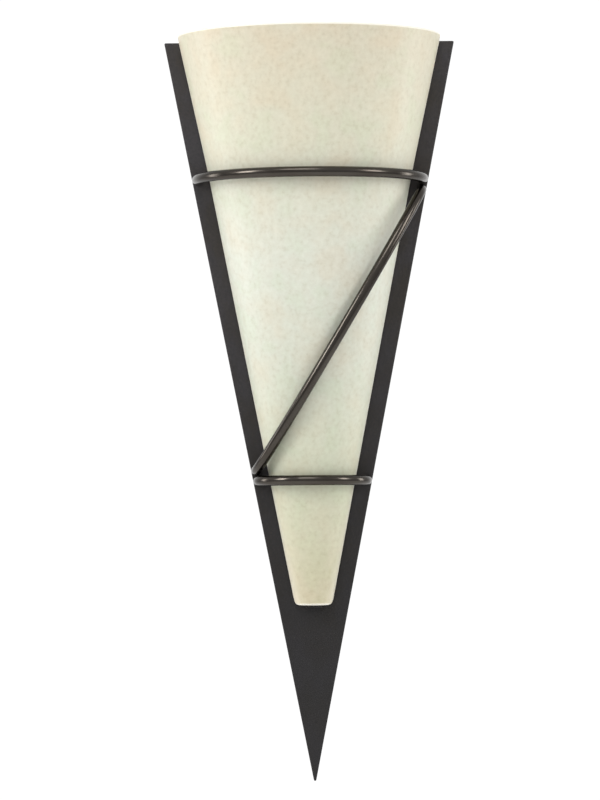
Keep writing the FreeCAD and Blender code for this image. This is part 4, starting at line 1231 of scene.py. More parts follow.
@dataclass
class BentRod:
    """Round bar bent to half an ellipse, its ends flat on the plate's face."""

    node: str
    half: float
    rise: float
    at: Place
    turn: float = 0.0
    tilt: float = 0.0
    radius: float = 3.5
    finish: SatinBlackNickel = field(default_factory=SatinBlackNickel)

    def bend(self) -> Piece:
        """Bend the bar as a bevelled curve and cut it off at the plate.

        Returns:
            The rod.
        """
        bpy.ops.object.select_all(action="DESELECT")
        bpy.ops.curve.primitive_bezier_circle_add(radius=1.0)
        bar = named(f"bent_{self.node}")
        bar.scale = (self.half * MM, self.rise * MM, 1.0)
        bpy.ops.object.transform_apply(location=False, rotation=False, scale=True)
        for knot in bar.data.splines[0].bezier_points:
            knot.radius = 1.0
        bar.data.resolution_u = 48
        bar.data.bevel_depth = self.radius * MM
        bar.data.bevel_resolution = 12
        select_only(bar)
        bpy.ops.object.convert(target="MESH")
        bar = bpy.context.object
        turn = Matrix.Rotation(math.radians(self.turn), 4, "Y")
        stand(bar, self.at, turn @ Matrix.Rotation(math.radians(self.tilt), 4, "X"))
        bpy.ops.object.mode_set(mode="EDIT")
        bpy.ops.mesh.select_all(action="SELECT")
        bpy.ops.mesh.bisect(
            plane_co=(0, PLATE_FACE * MM, 0),
            plane_no=(0, 1, 0),
            use_fill=True,
            clear_outer=True,
        )
        bpy.ops.object.mode_set(mode="OBJECT")
        tidy_mesh(bar)
        smooth(bar, 50)
        return bar

    def build(self, shop: Workshop) -> None:
        """Bend the rod and fit it."""
        shop.fit(self.bend(), self.node, self.finish)


@dataclass(frozen=True)
class RodPlaces:
    """Where the rods go: from one edge of the plate to the other, just clear of the glass."""

    radius: float = 3.5
    upper: float = 80.0
    lower: float = PLATE_TOP - 302.4
    gap: float = 0.6
    crossing: float = 0.3
    diagonal_gap: float = 0.7
    tilt: float = 3.5

    def reach(self, level: float) -> float:
        """How far from the middle a rod's end stands at a height, tangent to the plate's edge."""
        return (level - PLATE_TIP) * EDGE_SLOPE - self.radius / math.cos(math.atan(EDGE_SLOPE))

    def stand_off(self) -> float:
        """How far a rod's middle stands clear of the cone, square to the plate."""
        lean = math.atan(SHADE_SLOPE * SHADE_SWELL)
        return PLATE_FACE - SHADE_BACK + (self.radius + self.gap) / math.cos(lean)

    def level_rod(self, node: str, level: float) -> BentRod:
        """A rod that runs level round the cone."""
        rise = (level - SHADE_APEX) * SHADE_SLOPE * SHADE_SWELL + self.stand_off()
        return BentRod(node, self.reach(level), rise, (0, PLATE_FACE, level), radius=self.radius)

    def diagonal_rod(self) -> BentRod:
        """The rod from under the upper one's right end to above the lower one's left end.

        Returns:
            Half an ellipse over the straight line between its ends, clear of the cone at the
            line's middle.
        """
        drop = 2 * self.radius + self.crossing
        high, low = self.upper - drop, self.lower + drop
        right, left = self.reach(high), self.reach(low)
        across, up = right + left, high - low
        x, z = (right - left) / 2, (high + low) / 2
        cone = (z - SHADE_APEX) * SHADE_SLOPE
        rise = math.sqrt(cone * cone - x * x) * SHADE_SWELL + self.stand_off()
        return BentRod(
            "diagonal_rod",
            math.hypot(across, up) / 2,
            rise + self.diagonal_gap,
            (x, PLATE_FACE - self.radius * math.sin(math.radians(self.tilt)), z),
            -math.degrees(math.atan(up / across)),
            self.tilt,
            self.radius,
        )

    def all(self) -> list[BentRod]:
        """The three rods."""
        return [
            self.level_rod("upper_rod", self.upper),
            self.level_rod("lower_rod", self.lower),
            self.diagonal_rod(),
        ]


# ---------------------------------------------------------------- nuts, screws and washers


@dataclass(frozen=True)
class Fastener:
    """Shapes shared by the screws, nuts and washers of one thread size."""

    thread: float
    pitch: float
    flats: float
    nut_height: float
    head: float
    head_height: float
    play: float = 0.05
    sink: float = 0.35

    def hexagon(self) -> Piece:
        """Hexagonal bar stock, longer than any nut."""
        bpy.ops.object.select_all(action="DESELECT")
        bpy.ops.mesh.primitive_cylinder_add(
            vertices=6,
            radius=self.flats / 2 / math.cos(math.radians(30)) * MM,
            depth=60 * MM,
            location=(0, 0, 0),
            rotation=(0, 0, math.radians(30)),
        )
        stock = named("hexagon_stock")
        settle(stock)
        return stock

    def nut(self, name: str, at: Place, turn: Matrix, cap: float = 0.0) -> Piece:
        """Hexagonal nut with chamfered corners, or a domed one.

        Args:
            name: the nut's name.
            at: the middle of the face that it sits on.
            turn: which way it points.
            cap: radius of its dome, or 0 for a plain nut.

        Returns:
            The nut.
        """
        bore, sink, height = self.thread / 2 + self.play, self.sink, self.nut_height
        corner = self.flats / 2 / math.cos(math.radians(30))
        shoulder = self.flats / 2 * 0.96
        fall = (corner - shoulder) * math.tan(math.radians(28))
        corner += 0.01
        profile = [(bore + sink, 0), (shoulder, 0), (corner, fall)]
        if cap:
            profile += [(corner, height - fall * 2), (cap, height), *dome(cap, height, cap)]
            profile += [(0, height + cap), (0, height), (bore, height - 1), (bore, sink)]
        else:
            profile += [(corner, height - fall), (shoulder, height), (bore + sink, height)]
            profile += [(bore, height - sink), (bore, sink)]
        profile.append(profile[0])
        item = turned(name, profile, (0, 0, 0), steps=48)
        combine(item, self.hexagon(), "INTERSECT")
        stand(item, at, turn)
        smooth(item, 25)
        return item

    def washer(
        self, name: str, outer: float, thick: float, at: Place, turn: Matrix
    ) -> Piece:
        """Punched washer, its outer corners rolled over a little."""
        bore = self.thread / 2 + self.play
        edge = outer / 2
        profile = [
            (bore, 0.1), (bore + 0.1, 0), (edge - 0.1, 0), (edge, 0.12), (edge, thick - 0.25),
            (edge - 0.25, thick), (bore + 0.15, thick), (bore, thick - 0.15), (bore, 0.1),
        ]
        return turned(name, profile, at, turn, 48)

    def screw(
        self, name: str, length: float, at: Place, turn: Matrix, slot: float = 0.9
    ) -> Piece:
        """Pan-head screw with a slot, its shank from a place along turn, its head behind it.

        Args:
            name: the screw's name.
            length: length under the head.
            at: the middle of the face under the head.
            turn: which way the shank points.
            slot: width of the slot.

        Returns:
            The screw.
        """
        radius = self.thread / 2
        rim = self.head / 2
        tall = self.head_height
        thread = Thread(0.8, length - 0.4, radius, self.pitch, self.pitch * 0.35, 0.5)
        profile = [
            (0, -tall), (rim * 0.55, -tall), (rim * 0.82, -tall * 0.86), (rim * 0.97, -tall * 0.5),
            (rim, -tall * 0.2), (rim - 0.1, 0), (radius, 0),
        ]
        profile += thread.wall() + [(radius - 0.4, length), (0, length)]
        item = turned(name, profile, (0, 0, 0), steps=32, cuts=(thread,))
        cut = rectangle(-rim - 1, rim + 1, -slot / 2, slot / 2)
        combine(item, prism("slot_blade", cut, -tall - 1, -tall * 0.45, "Z"), "DIFFERENCE")
        stand(item, at, turn)
        smooth(item, 30)
        return item


M4 = Fastener(4.0, 0.7, 7.0, 3.2, 8.0, 2.4)
M3 = Fastener(3.0, 0.5, 5.5, 2.4, 5.6, 1.8)
M10 = Fastener(10.0, 1.0, 14.0, 3.0, 16.0, 3.0)


@dataclass
class WallStrap:
    """Raised steel strap, slotted at both ends, with the screws that carry the plate."""

    half: float = 60.0
    raised: float = 37.0
    height: float = 22.0
    thick: float = 1.5
    rise: float = 4.0
    slot_middle: float = 49.0
    slot_length: float = 12.0
    slot_width: float = 5.0
    cable_hole: float = 14.0
    washer_outer: float = 10.0
    washer_thick: float = 0.8
    cap_height: float = 4.0
    cap_dome: float = 3.36
    stud_tip: float = -26.144

    def strap(self) -> Piece:
        """Bend, slot and drill the strap."""
        mitre = self.thick * math.tan(math.radians(22.5))
        front = -(self.rise + self.thick)
        foot = self.raised + self.rise
        right = [
            (self.half, 0.0, 0.0),
            (self.half, -self.thick, 0.0),
            (foot + mitre, -self.thick, 1.0),
            (self.raised + mitre, front, 2.2),
        ]
        under = [(self.raised, -self.rise, 1.0), (foot, 0.0, 2.2)]
        left = [(-x, y, r) for x, y, r in reversed(right)]
        left_under = [(-x, y, r) for x, y, r in reversed(under)]
        strap = prism(
            "bent_wall_strap",
            rounded(right + left + left_under + under),
            -self.height / 2,
            self.height / 2,
            "Z",
        )
        round_edges(
            strap,
            lambda a, b: near(abs(a.x), self.half) and near(a.x, b.x)
            and near(abs(a.z), self.height / 2) and near(a.z, b.z),
            3.0,
        )
        reach = self.slot_width / 2
        for side in (-1, 1):
            start, end = (side * self.slot_middle + way * self.slot_length / 2 for way in (-1, 1))
            corners = rectangle(start, end, -reach, reach)
            slot = rounded([(x, z, reach * 0.999) for x, z in corners], 8)
            combine(strap, prism("slot_punch", slot, -3.0, 1.0, "Y"), "DIFFERENCE")
            drill(strap, STUD_HOLE, (side * STUD_ACROSS, 1.0, 0), 9)
        drill(strap, self.cable_hole, (0, 1.0, 0), 9)
        soften(strap, 0.2)
        return strap

    def build(self, shop: Workshop) -> None:
        """Fit the strap, its screws and nuts, and the plate's washers and cap nuts."""
        zinc, black = Metal.ZINC.value, Metal.BLACK.value
        shop.fit(self.strap(), "wall_strap", zinc)
        seat, thick = -self.rise, self.washer_thick
        at = (STUD_ACROSS, seat, 0)
        screw = M4.screw("strap_screw", seat - self.stud_tip, at, FORWARD)
        shop.fit(paired("strap_screw_pair", screw), "strap_screws", zinc)
        lock = M4.nut("strap_nut", (STUD_ACROSS, seat - self.thick, 0), FORWARD)
        shop.fit(paired("strap_nut_pair", lock), "strap_nuts", zinc)
        at = (STUD_ACROSS, PLATE_FACE, 0)
        washer = M4.washer("cap_washer", self.washer_outer, thick, at, FORWARD)
        shop.fit(paired("cap_washer_pair", washer), "cap_washers", black)
        at = (STUD_ACROSS, PLATE_FACE - thick, 0)
        cap = replace(M4, nut_height=self.cap_height).nut("cap_nut", at, FORWARD, self.cap_dome)
        shop.fit(paired("cap_nut_pair", cap), "cap_nuts", black)


# ---------------------------------------------------------------- the lampholder


@dataclass
class HolderBracket:
    """Angle bracket on the plate, with its rivets, the nipple and the nipple's nut."""

    level: float = 46.0
    thick: float = 1.5
    half: float = 11.0
    leg: float = 24.0
    front: float = -57.0
    nipple_hole: float = 10.4
    nipple_below: float = 6.0
    nipple_above: float = 5.0
    rivet_hole: float = 3.2
    rivet_head: float = 6.0
    rivet_height: float = 1.2

    def bracket(self) -> Piece:
        """Bend the bracket, round its free corners and bore its shelf."""
        seat = self.level + self.thick
        top = self.level + self.leg
        section = rounded([
            (PLATE_FACE, self.level, 2.4),
            (self.front, self.level, 0.0),
            (self.front, seat, 0.0),
            (PLATE_FACE - self.thick, seat, 0.9),
            (PLATE_FACE - self.thick, top, 0.0),
            (PLATE_FACE, top, 0.0),
        ])
        item = prism("bent_holder_bracket", section, -self.half, self.half, "X")
        round_edges(
            item,
            lambda a, b: near(abs(a.x), self.half) and near(a.x, b.x)
            and ((near(a.y, self.front) and near(b.y, self.front))
                 or (near(a.z, top) and near(b.z, top))),
            4.0,
        )
        drill(item, self.nipple_hole, (0, LAMP_AXIS, self.level - 1), 4, UPRIGHT)
        for side in (-1, 1):
            drill(item, self.rivet_hole, (side * RIVET_ACROSS, PLATE_FACE + 1, RIVET_LEVEL), 4)
        soften(item, 0.2)
        return item

    def rivets(self) -> Piece:
        """Two blind rivets with domed heads on both sides."""
        grip = PLATE_INSIDE - (PLATE_FACE - self.thick)
        rim, shank, high = self.rivet_head / 2, self.rivet_hole / 2, self.rivet_height
        head = [(rim, 0.1), (rim * 0.93, high * 0.5), (rim * 0.72, high * 0.85), (rim * 0.45, high)]
        profile = [(0, -high), *((r, -z) for r, z in reversed(head)), (rim - 0.15, 0), (shank, 0)]
        profile += [(shank, grip), (rim - 0.15, grip), *((r, grip + z) for r, z in head)]
        profile += [(0.8, grip + high), (0.7, grip + high - 0.5), (0, grip + high - 0.5)]
        at = (RIVET_ACROSS, PLATE_INSIDE, RIVET_LEVEL)
        return paired("blind_rivet_pair", turned("blind_rivet", profile, at, FORWARD, 32))

    def nipple(self) -> Piece:
        """Hollow nipple threaded from end to end."""
        low = self.level - self.nipple_below
        high = self.level + self.thick + self.nipple_above
        thread = Thread(low + 0.5, high - 0.5, 5.0, 1.0, 0.45, 0.6)
        profile = [(3.8, low), (4.6, low), *thread.wall(), (4.6, high), (3.8, high), (3.8, low)]
        return turned("threaded_nipple", profile, (0, LAMP_AXIS, 0), steps=48, cuts=(thread,))

    def build(self, shop: Workshop) -> None:
        """Fit the bracket and what fixes the lampholder to it."""
        zinc = Metal.ZINC.value
        shop.fit(self.bracket(), "holder_bracket", zinc)
        shop.fit(self.rivets(), "bracket_rivets", zinc)
        shop.fit(self.nipple(), "holder_nipple", zinc)
        at = (0, LAMP_AXIS, self.level - M10.nut_height)
        lock = M10.nut("nipple_lock_nut", at, UPRIGHT)
        shop.fit(lock, "nipple_nut", zinc)


@dataclass
class Lampholder:
    """Two-part moulded lampholder: a cup on the nipple and a shell screwed on it."""

    outer: float = 13.5
    inner: float = 11.5
    seat: float = 47.5
    joint: float = 65.5
    mouth: float = 7.55
    nipple: float = 5.05
    flutes: int = 24
    flute_depth: float = 0.35

    def cup(self) -> Piece:
        """Lower half: rounded foot, fluted grip, a land at the joint."""
        outer, inner, nipple = self.outer, self.inner, self.nipple
        foot, joint, floor = self.seat, self.joint, self.seat + 3.0
        grip = Flutes(foot + 3.5, joint - 4.0, outer, self.flutes, self.flute_depth)
        profile = [
            (nipple, foot + 0.3), (nipple + 0.3, foot), (outer - 1.9, foot),
            (outer - 0.9, foot + 0.3), (outer - 0.25, foot + 0.95), (outer, foot + 2.0),
            (outer, foot + 3.0), (outer, grip.low), (outer, grip.high), (outer, joint - 3.5),
            (outer, joint - 2.5), (outer - 0.2, joint - 2.1), (outer - 0.5, joint - 2.0),
            (outer - 0.5, joint - 0.1), (outer - 0.6, joint), (inner, joint),
            (inner, floor + 0.3), (inner - 0.3, floor), (nipple, floor), (nipple, foot + 0.3),
        ]
        at = (0, LAMP_AXIS, 0)
        return turned("moulded_holder_cup", profile, at, steps=96, cuts=(grip,))

    def shell(self) -> Piece:
        """Upper half: fluted skirt, threaded outside, an inward lip round the mouth."""
        outer, inner, mouth = self.outer, self.inner, self.mouth
        low, rim, skirt = self.joint, HOLDER_RIM, self.joint + 9.5
        grip = Flutes(low + 1.5, low + 8.0, outer, self.flutes, self.flute_depth)
        thread = Thread(low + 11.0, rim - 3.5, outer - 0.6, 2.5, 0.55, 2.0)
        profile = [
            (inner, low + 0.1), (outer - 0.5, low + 0.1), (outer - 0.2, low + 0.3),
            (outer, low + 0.7), (outer, grip.low), (outer, grip.high), (outer, skirt - 0.4),
            (outer - 0.2, skirt), (thread.radius, skirt + 0.2),
            *thread.wall(),
            (thread.radius, rim - 1.3), (outer - 0.9, rim - 0.5), (outer - 1.6, rim - 0.1),
            (outer - 2.3, rim), (mouth + 0.85, rim), (mouth + 0.25, rim - 0.2),
            (mouth, rim - 0.7), (mouth, rim - 2.0), (inner, rim - 2.0), (inner, low + 0.1),
        ]
        at = (0, LAMP_AXIS, 0)
        return turned("moulded_holder_shell", profile, at, steps=96, cuts=(grip, thread))

    def build(self, shop: Workshop) -> None:
        """Fit the halves and dress the insert and the contacts inside them."""
        shop.fit(self.cup(), "holder_base", Body.HOLDER.value)
        shop.fit(self.shell(), "holder_shell", Body.HOLDER.value)
        shop.carry("holder_core", Body.CORE.value)
        for node in ("thread_sleeve", "centre_contact", "contact_screws"):
            shop.carry(node, Metal.BRASS.value)


# ---------------------------------------------------------------- the lamp


@dataclass
class CandleLamp:
    """Clear candle lamp: rolled screw cap, glass envelope, stem and coiled filament."""

    radius: float = 17.5
    length: float = 74.0
    neck: float = 6.2
    wall: float = 0.6
    cap_radius: float = 7.0
    cap_bottom: float = 75.0
    stem_height: float = 24.0
    spread: float = 7.0
    rise: float = 9.0
    arch: float = 4.4
    coil_turns: int = 26
    coil_radius: float = 0.32

    def envelope(self) -> Piece:
        """Blow the envelope: a smooth candle form with a thin, even wall."""
        shape = [
            (self.neck, 0.0),
            (self.neck + 0.14 * (self.radius - self.neck), 0.06),
            (self.radius * 0.80, 0.22),
            (self.radius, 0.42),
            (self.radius * 0.82, 0.63),
            (self.radius * 0.46, 0.83),
            (self.radius * 0.17, 0.96),
            (0.0, 1.0),
        ]
        outside = self.curve([(r, z * self.length) for r, z in shape])
        inside = []
        for (r0, z0), (r1, z1) in zip(outside, outside[1:]):
            normal = Vector((z1 - z0, r0 - r1)).normalized()
            middle = Vector(((r0 + r1) / 2, (z0 + z1) / 2)) - normal * self.wall
            inside.append((max(middle.x, 0.0), max(middle.y, 0.0)))
        inside[-1] = (0.0, self.length - self.wall * 1.6)
        profile = outside + list(reversed(inside)) + [(inside[0][0], 0.0), outside[0]]
        return turned("blown_envelope", profile, (0, LAMP_AXIS, HOLDER_RIM), steps=72)

    def curve(self, points: list[Point], steps: int = 7) -> list[Point]:
        """Smooth run through points, by Catmull and Rom's cubic."""
        ends = [points[0], *points, (-points[-2][0], points[-2][1])]
        run = []
        for p0, p1, p2, p3 in zip(ends, ends[1:], ends[2:], ends[3:]):
            a, b, c, d = (Vector(p) for p in (p0, p1, p2, p3))
            for step in range(steps):
                t = step / steps
                place = 0.5 * (
                    2 * b
                    + (c - a) * t
                    + (2 * a - 5 * b + 4 * c - d) * t * t
                    + (3 * b - a - 3 * c + d) * t ** 3
                )
                run.append((place.x, place.y))
        return run + [points[-1]]

    def cap(self) -> Piece:
        """Rolled screw cap with a helical thread and a flared collar."""
        radius, low, rim = self.cap_radius, self.cap_bottom, HOLDER_RIM
        thread = Thread(low + 2.0, rim - 4.5, radius, 2.82, 0.75, 1.6)
        inner = radius - 1.1
        profile = [
            (inner, low), (radius - 0.8, low), (radius - 0.3, low + 0.4), (radius, low + 1.2),
            *thread.wall(8),
            (radius - 0.3, rim - 3.3), (radius - 0.3, rim - 1.3), (radius, rim - 0.7),
            (radius, rim), (radius - 0.4, rim), (inner, rim - 1.5), (inner, low),
        ]
        return turned("rolled_lamp_cap", profile, (0, LAMP_AXIS, 0), steps=64, cuts=(thread,))

    def base(self, shop: Workshop) -> None:
        """Fit the cap, the fired insulator under it and the blob of solder on the tip."""
        shop.fit(self.cap(), "lamp_cap", Metal.NICKEL.value)
        at = (0, LAMP_AXIS, self.cap_bottom)
        bead = turned(
            "vitrite_insulator",
            [(0, 0), (6.6, 0), (6.9, -0.2), (6.4, -0.6), (4.6, -1.5), (3.4, -2.2), (3.0, -2.6),
             (0, -2.6)],
            at,
            steps=48,
        )
        shop.fit(bead, "lamp_insulator", Body.VITRITE.value)
        tip = turned(
            "solder_tip",
            [(0, -2.6), (2.3, -2.6), (2.25, -3.0), (1.9, -3.45), (1.2, -3.72), (0, -3.8)],
            at,
            steps=32,
        )
        shop.fit(tip, "lamp_tip", Metal.TIN.value)

    def stem(self) -> Piece:
        """Glass stem: a flare sealed in the neck, a tube, and a flat pinch round the wires."""
        profile = [
            (0, 0.2), (4.6, 0.0), (4.9, 0.2), (4.2, 1.6), (3.2, 4.0), (2.6, 7.0), (2.4, 12.0),
            (2.4, 17.0), (2.5, 20.0), (2.5, 22.5), (2.1, 23.6), (1.0, 24.0), (0, self.stem_height),
        ]
        item = turned("pinched_stem", profile, (0, 0, HOLDER_RIM), steps=40)
        for vertex in item.data.vertices:
            level = vertex.co.z / MM - HOLDER_RIM
            flat = min(max((level - 14.0) / 5.0, 0.0), 1.0)
            vertex.co.y *= 1 - 0.5 * flat
        item.location = (0, LAMP_AXIS * MM, 0)
        settle(item)
        return item

    def filament(self) -> Piece:
        """Two lead wires out of the pinch and a fine coil hung between them in two arches."""
        stem, top = self.stem_height, self.stem_height + self.rise
        leads = [
            [(side * 1.3, 0, stem - 8), (side * 1.3, 0, stem), (side * 2.4, 0, stem + 1.5),
             (side * self.spread, 0, top)]
            for side in (-1, 1)
        ]
        crest = top + self.arch
        knots = [
            (place * self.spread / 2, crest if place % 2 else top) for place in (-2, -1, 0, 1, 2)
        ]
        coil = []
        steps = self.coil_turns * 6
        for (x0, z0), (x1, z1) in zip(knots, knots[1:]):
            way = Vector((x1 - x0, 0, z1 - z0))
            side = Vector((-way.z, 0, way.x)).normalized()
            for step in range(steps):
                share = step / steps
                angle = share * self.coil_turns * 2 * math.pi
                ring = side * math.cos(angle) + Vector((0, 1, 0)) * math.sin(angle)
                coil.append(Vector((x0, 0, z0)) + way * share + ring * self.coil_radius)
        coil.append(Vector((self.spread, 0, top)))
        wires = [self.wire(points, 0.3, 8) for points in leads]
        wires.append(self.wire(coil, 0.07, 4))
        return joined("coiled_filament", wires)

    def wire(self, points: list, radius: float, sides: int) -> Piece:
        """Drawn wire along points given from the lampholder's rim."""
        bpy.ops.object.select_all(action="DESELECT")
        bpy.ops.curve.primitive_nurbs_path_add(location=(0, 0, 0))
        item = named("lamp_wire")
        item.data.splines.clear()
        spline = item.data.splines.new("POLY")
        spline.points.add(len(points) - 1)
        for knot, point in zip(spline.points, points):
            place = (Vector(point) + Vector((0, LAMP_AXIS, HOLDER_RIM))) * MM
            knot.co = (*place, 1.0)
        item.data.bevel_depth = radius * MM
        item.data.bevel_resolution = max(0, sides // 4 - 1)
        item.data.use_fill_caps = True
        select_only(item)
        bpy.ops.object.convert(target="MESH")
        item = bpy.context.object
        settle(item)
        tidy_mesh(item, WIRE_MERGE)
        smooth(item, 60)
        return item

    def build(self, shop: Workshop) -> None:
        """Fit the lamp's six pieces."""
        self.base(shop)
        shop.fit(self.envelope(), "lamp_glass", ClearGlass())
        shop.fit(self.stem(), "lamp_stem", ClearGlass())
        shop.fit(self.filament(), "lamp_filament", Metal.TUNGSTEN.value)


# ---------------------------------------------------------------- wiring behind the plate


@dataclass
class TerminalBlock:
    """Three-way connector strip on the back of the plate, and the screw through it."""

    half: float = 15.0
    height: float = 18.0
    depth: float = 14.0
    pitch: float = 10.0
    pole_y: float = -11.8
    screw_pitch: float = 9.0
    screw_length: float = 4.0
    screw_slot: Point = (0.66, 0.87)
    screw_hole: float = 3.4
    tube_outer: float = 4.4
    tube_hole: float = 4.5
    notch_half: float = 0.9
    notch_depth: float = 4.2
    notch_floor: float = 1.5

    def body(self) -> Piece:
        """Moulded body: three towers joined by webs, bored for the tubes and their screws."""
        back = PLATE_INSIDE + self.depth
        low, high = BLOCK_LEVEL - self.height / 2, BLOCK_LEVEL + self.height / 2
        outline = rectangle(-self.half, self.half, low, high)
        body = prism("moulded_terminal_strip", outline, PLATE_INSIDE, back, "Y")
        floor = PLATE_INSIDE + self.notch_floor
        for x in (-self.pitch / 2, self.pitch / 2):
            for level, way in ((low, 1), (high, -1)):
                left, right = x - self.notch_half, x + self.notch_half
                notch = rectangle(left, right, level - way, level + way * self.notch_depth)
                combine(body, prism("notch", notch, floor, back + 1, "Y"), "DIFFERENCE")
        for place in (-1, 0, 1):
            x = place * self.pitch
            drill(body, self.tube_hole, (x, self.pole_y, low - 1), self.height + 2, UPRIGHT)
            for end in (-1, 1):
                level = BLOCK_LEVEL + end * self.screw_pitch / 2
                drill(body, self.screw_hole, (x, back + 1, level), self.depth / 2 + 1)
        drill(body, self.screw_hole, (BLOCK_SCREW_X, back + 1, BLOCK_LEVEL), self.depth + 2)
        soften(body, 0.35, 3)
        return body

    def clamp_screws(self) -> Piece:
        """Six headless slotted screws."""
        x, level = -self.pitch, BLOCK_LEVEL - self.screw_pitch / 2
        start, length = self.pole_y + self.tube_outer / 2 - 0.5, self.screw_length
        thread = Thread(0.3, length - 0.3, 1.5, 0.5, 0.18, 0.4)
        profile = [(0, 0), (1.2, 0), *thread.wall(), (1.2, length), (0, length)]
        first = turned("clamp_screw", profile, (x, start, level), BACKWARD, 28, (thread,))
        head = start + length
        width, depth = self.screw_slot
        cut = rectangle(x - 2, x + 2, level - width / 2, level + width / 2)
        combine(first, prism("slot_blade", cut, head - depth, head + 1.0, "Y"), "DIFFERENCE")
        smooth(first, 30)
        places = [(pole * self.pitch, 0, end * self.screw_pitch)
                  for pole in range(3) for end in range(2)]
        screws = [first] + [copied(first, shift) for shift in places[1:]]
        return joined("slotted_clamp_screws", screws)

    def build(self, shop: Workshop) -> None:
        """Fit the strip, its screws and its fixing."""
        shop.fit(self.body(), "terminal_block", Body.BLOCK.value)
        shop.carry("terminal_tubes", Metal.BRASS.value)
        shop.fit(self.clamp_screws(), "terminal_screws", Metal.BRASS.value)
        length = self.depth + PLATE_WALL + M3.nut_height + 1.0
        at = (BLOCK_SCREW_X, PLATE_INSIDE + self.depth, BLOCK_LEVEL)
        shop.fit(M3.screw("block_pan_screw", length, at, FORWARD), "block_screw", Metal.ZINC.value)
        lock = M3.nut("block_lock_nut", (BLOCK_SCREW_X, PLATE_FACE, BLOCK_LEVEL), FORWARD)
        shop.fit(lock, "block_nut", Metal.ZINC.value)


@dataclass
class EarthAndLeads:
    """Earth screw with its washer, nut and tag, the rubber bush and the three leads."""

    sheet: float = 0.8
    ring_outer: float = 7.6
    bush_outer: float = 8.0
    bush_waist: float = 6.0
    bush_bore: float = 4.0
    bush_lip: float = 1.5

    def bush(self) -> Piece:
        """Rubber bush with rounded lips on both sides of the plate."""
        lip, bore, outer = self.bush_lip, self.bush_bore, self.bush_outer
        waist, wall = self.bush_waist, PLATE_WALL
        end = wall + lip
        profile = [
            (bore + 0.5, -lip), (outer - 0.8, -lip), (outer - 0.2, -lip + 0.35), (outer, -0.5),
            (outer - 0.2, 0), (waist, 0), (waist, wall), (outer - 0.2, wall),
            (outer, wall + 0.5), (outer - 0.2, end - 0.35), (outer - 0.8, end),
            (bore + 0.5, end), (bore + 0.1, end - 0.3), (bore, end - 0.8), (bore, -lip + 0.8),
            (bore + 0.1, -lip + 0.3), (bore + 0.5, -lip),
        ]
        return turned("rubber_bush", profile, (0, PLATE_INSIDE, BUSH_LEVEL), FORWARD, 48)

    def build(self, shop: Workshop) -> None:
        """Fit the earth point and the bush, and dress the tag and the leads."""
        brass = Metal.BRASS.value
        length = PLATE_WALL + 2 * self.sheet + M4.nut_height + 1.0
        face, ring, lock = (
            (EARTH_X, level, EARTH_LEVEL)
            for level in (PLATE_FACE, PLATE_INSIDE + self.sheet, PLATE_INSIDE + 2 * self.sheet)
        )
        shop.fit(M4.screw("earth_pan_screw", length, face, BACKWARD), "earth_screw", brass)
        washer = M4.washer("earth_ring", self.ring_outer, self.sheet, ring, BACKWARD)
        shop.fit(washer, "earth_washer", brass)
        shop.fit(M4.nut("earth_lock_nut", lock, BACKWARD), "earth_nut", brass)
        shop.carry("earth_tag", Metal.TIN.value)
        shop.fit(self.bush(), "lead_grommet", Body.BUSH.value)
        shop.carry("live_lead", Body.LIVE.value)
        shop.carry("neutral_lead", Body.NEUTRAL.value)
        shop.carry("earth_lead", StripedSleeving())


# ---------------------------------------------------------------- studio


@dataclass(frozen=True)
class SoftBox:
    """A soft box that faces the middle of the shade, its power in watts."""

    name: str
    at: Place
    width: float
    height: float
    watts: float
    aim: Place = (0.0, -50.0, 20.0)

    def hang(self) -> None:
        """Hang the light; clear glass doesn't show it."""
        bpy.ops.object.light_add(type="AREA", location=Vector(self.at) * MM)
        light = bpy.context.object
        light.name = self.name
        light.data.shape = "RECTANGLE"
        light.data.size = self.width * MM
        light.data.size_y = self.height * MM
        light.data.energy = self.watts
        light.visible_transmission = False
        towards = Vector(self.aim) * MM - light.location
        light.rotation_euler = towards.to_track_quat("-Z", "Y").to_euler()


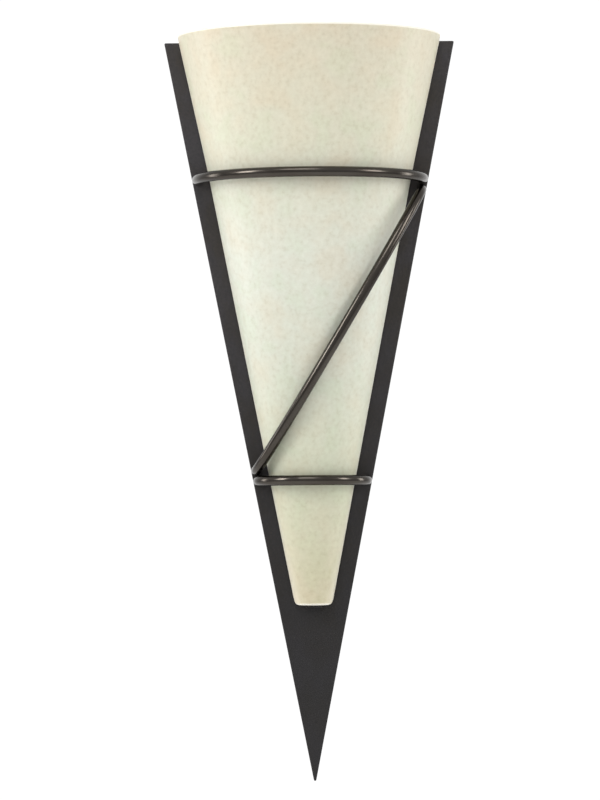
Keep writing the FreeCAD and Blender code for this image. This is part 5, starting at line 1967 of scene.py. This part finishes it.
@dataclass
class Studio:
    """Pale floor, white backdrop, soft boxes and the camera at the photograph's viewing angle."""

    eye: Place = (0.0, -2720.0, -141.0)
    aim: Place = (-8.25, -20.0, -72.0)
    roll: float = -0.47
    frame_height: float = 550.5
    floor_level: float = -720.0
    floor_size: float = 4800.0
    backdrop_edge: Point = (0.55, 0.9)
    backdrop_light: float = 1.05
    room_light: Point = (0.34, 0.74)
    boxes: tuple[SoftBox, ...] = (
        SoftBox("left_softbox", (-1500, -900, 800), 500, 900, 16.0),
        SoftBox("right_softbox", (1500, -900, 800), 500, 900, 12.0),
        SoftBox("high_softbox", (-300, -1400, 1700), 900, 600, 10.0),
        SoftBox("left_strip", (-1500, 260, 100), 300, 900, 4.5),
        SoftBox("right_strip", (1500, 260, 100), 300, 900, 4.5),
    )

    def floor(self) -> None:
        """A plain pale floor, far enough below to stay out of the main view."""
        bpy.ops.object.select_all(action="DESELECT")
        bpy.ops.mesh.primitive_plane_add(
            size=self.floor_size * MM, location=(0, 0, self.floor_level * MM)
        )
        floor = named("studio_floor")
        settle(floor)
        material, _, _ = Finish("pale_floor", "F4F4F4", 0.9).start()
        floor.data.materials.append(material)

    def world(self) -> None:
        """A white backdrop behind the sconce, and a dimmer room, darker below, on other sides."""
        world = bpy.data.worlds.new("white_backdrop")
        world.use_nodes = True
        tree = world.node_tree
        place = add_node(tree, "ShaderNodeTexCoord")
        split = add_node(
            tree, "ShaderNodeSeparateXYZ", links={"Vector": place.outputs["Generated"]}
        )
        start, end = self.backdrop_edge
        backdrop = add_node(
            tree,
            "ShaderNodeMapRange",
            {"From Min": start, "From Max": end},
            {"Value": split.outputs["Y"]},
        )
        low, high = self.room_light
        room = add_node(
            tree,
            "ShaderNodeMapRange",
            {"From Min": -0.6, "From Max": 0.6, "To Min": low, "To Max": high},
            {"Value": split.outputs["Z"]},
        )
        level = add_node(
            tree,
            "ShaderNodeMix",
            {3: self.backdrop_light},
            {0: backdrop, 2: room},
            data_type="FLOAT",
        )
        background = tree.nodes["Background"]
        background.inputs["Color"].default_value = (1.0, 1.0, 1.0, 1.0)
        tree.links.new(level.outputs[0], background.inputs["Strength"])
        bpy.context.scene.world = world

    def camera(self) -> None:
        """A long lens at the height of the shade's lower third."""
        eye = Vector(self.eye) * MM
        aim = Vector(self.aim) * MM
        data = bpy.data.cameras.new("photo_camera")
        data.sensor_width = 36.0
        data.lens = 36.0 * (aim - eye).length / (self.frame_height * MM)
        data.clip_end = 50.0
        camera = bpy.data.objects.new("photo_camera", data)
        bpy.context.scene.collection.objects.link(camera)
        look = (aim - eye).to_track_quat("-Z", "Y").to_matrix().to_4x4()
        camera.matrix_world = (
            Matrix.Translation(eye) @ look @ Matrix.Rotation(math.radians(self.roll), 4, "Z")
        )
        bpy.context.scene.camera = camera

    def build(self) -> None:
        """Set up everything that isn't the object."""
        self.floor()
        self.world()
        for box in self.boxes:
            box.hang()
        self.camera()
        bpy.context.scene.view_settings.view_transform = "Standard"


# ---------------------------------------------------------------- the whole


def main() -> None:
    """Load the frame, build and fit each assembly, and set up the studio."""
    logging.basicConfig(level=logging.INFO, format="%(name)s: %(message)s")
    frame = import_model()
    shop = Workshop(frame)
    assemblies = [
        BackPlate(),
        GlassShade(),
        *RodPlaces().all(),
        WallStrap(),
        HolderBracket(),
        Lampholder(),
        CandleLamp(),
        TerminalBlock(),
        EarthAndLeads(),
    ]
    for assembly in assemblies:
        assembly.build(shop)
        LOG.info("%s is done", type(assembly).__name__)
    Studio().build()


if __name__ == "__main__":
    main()
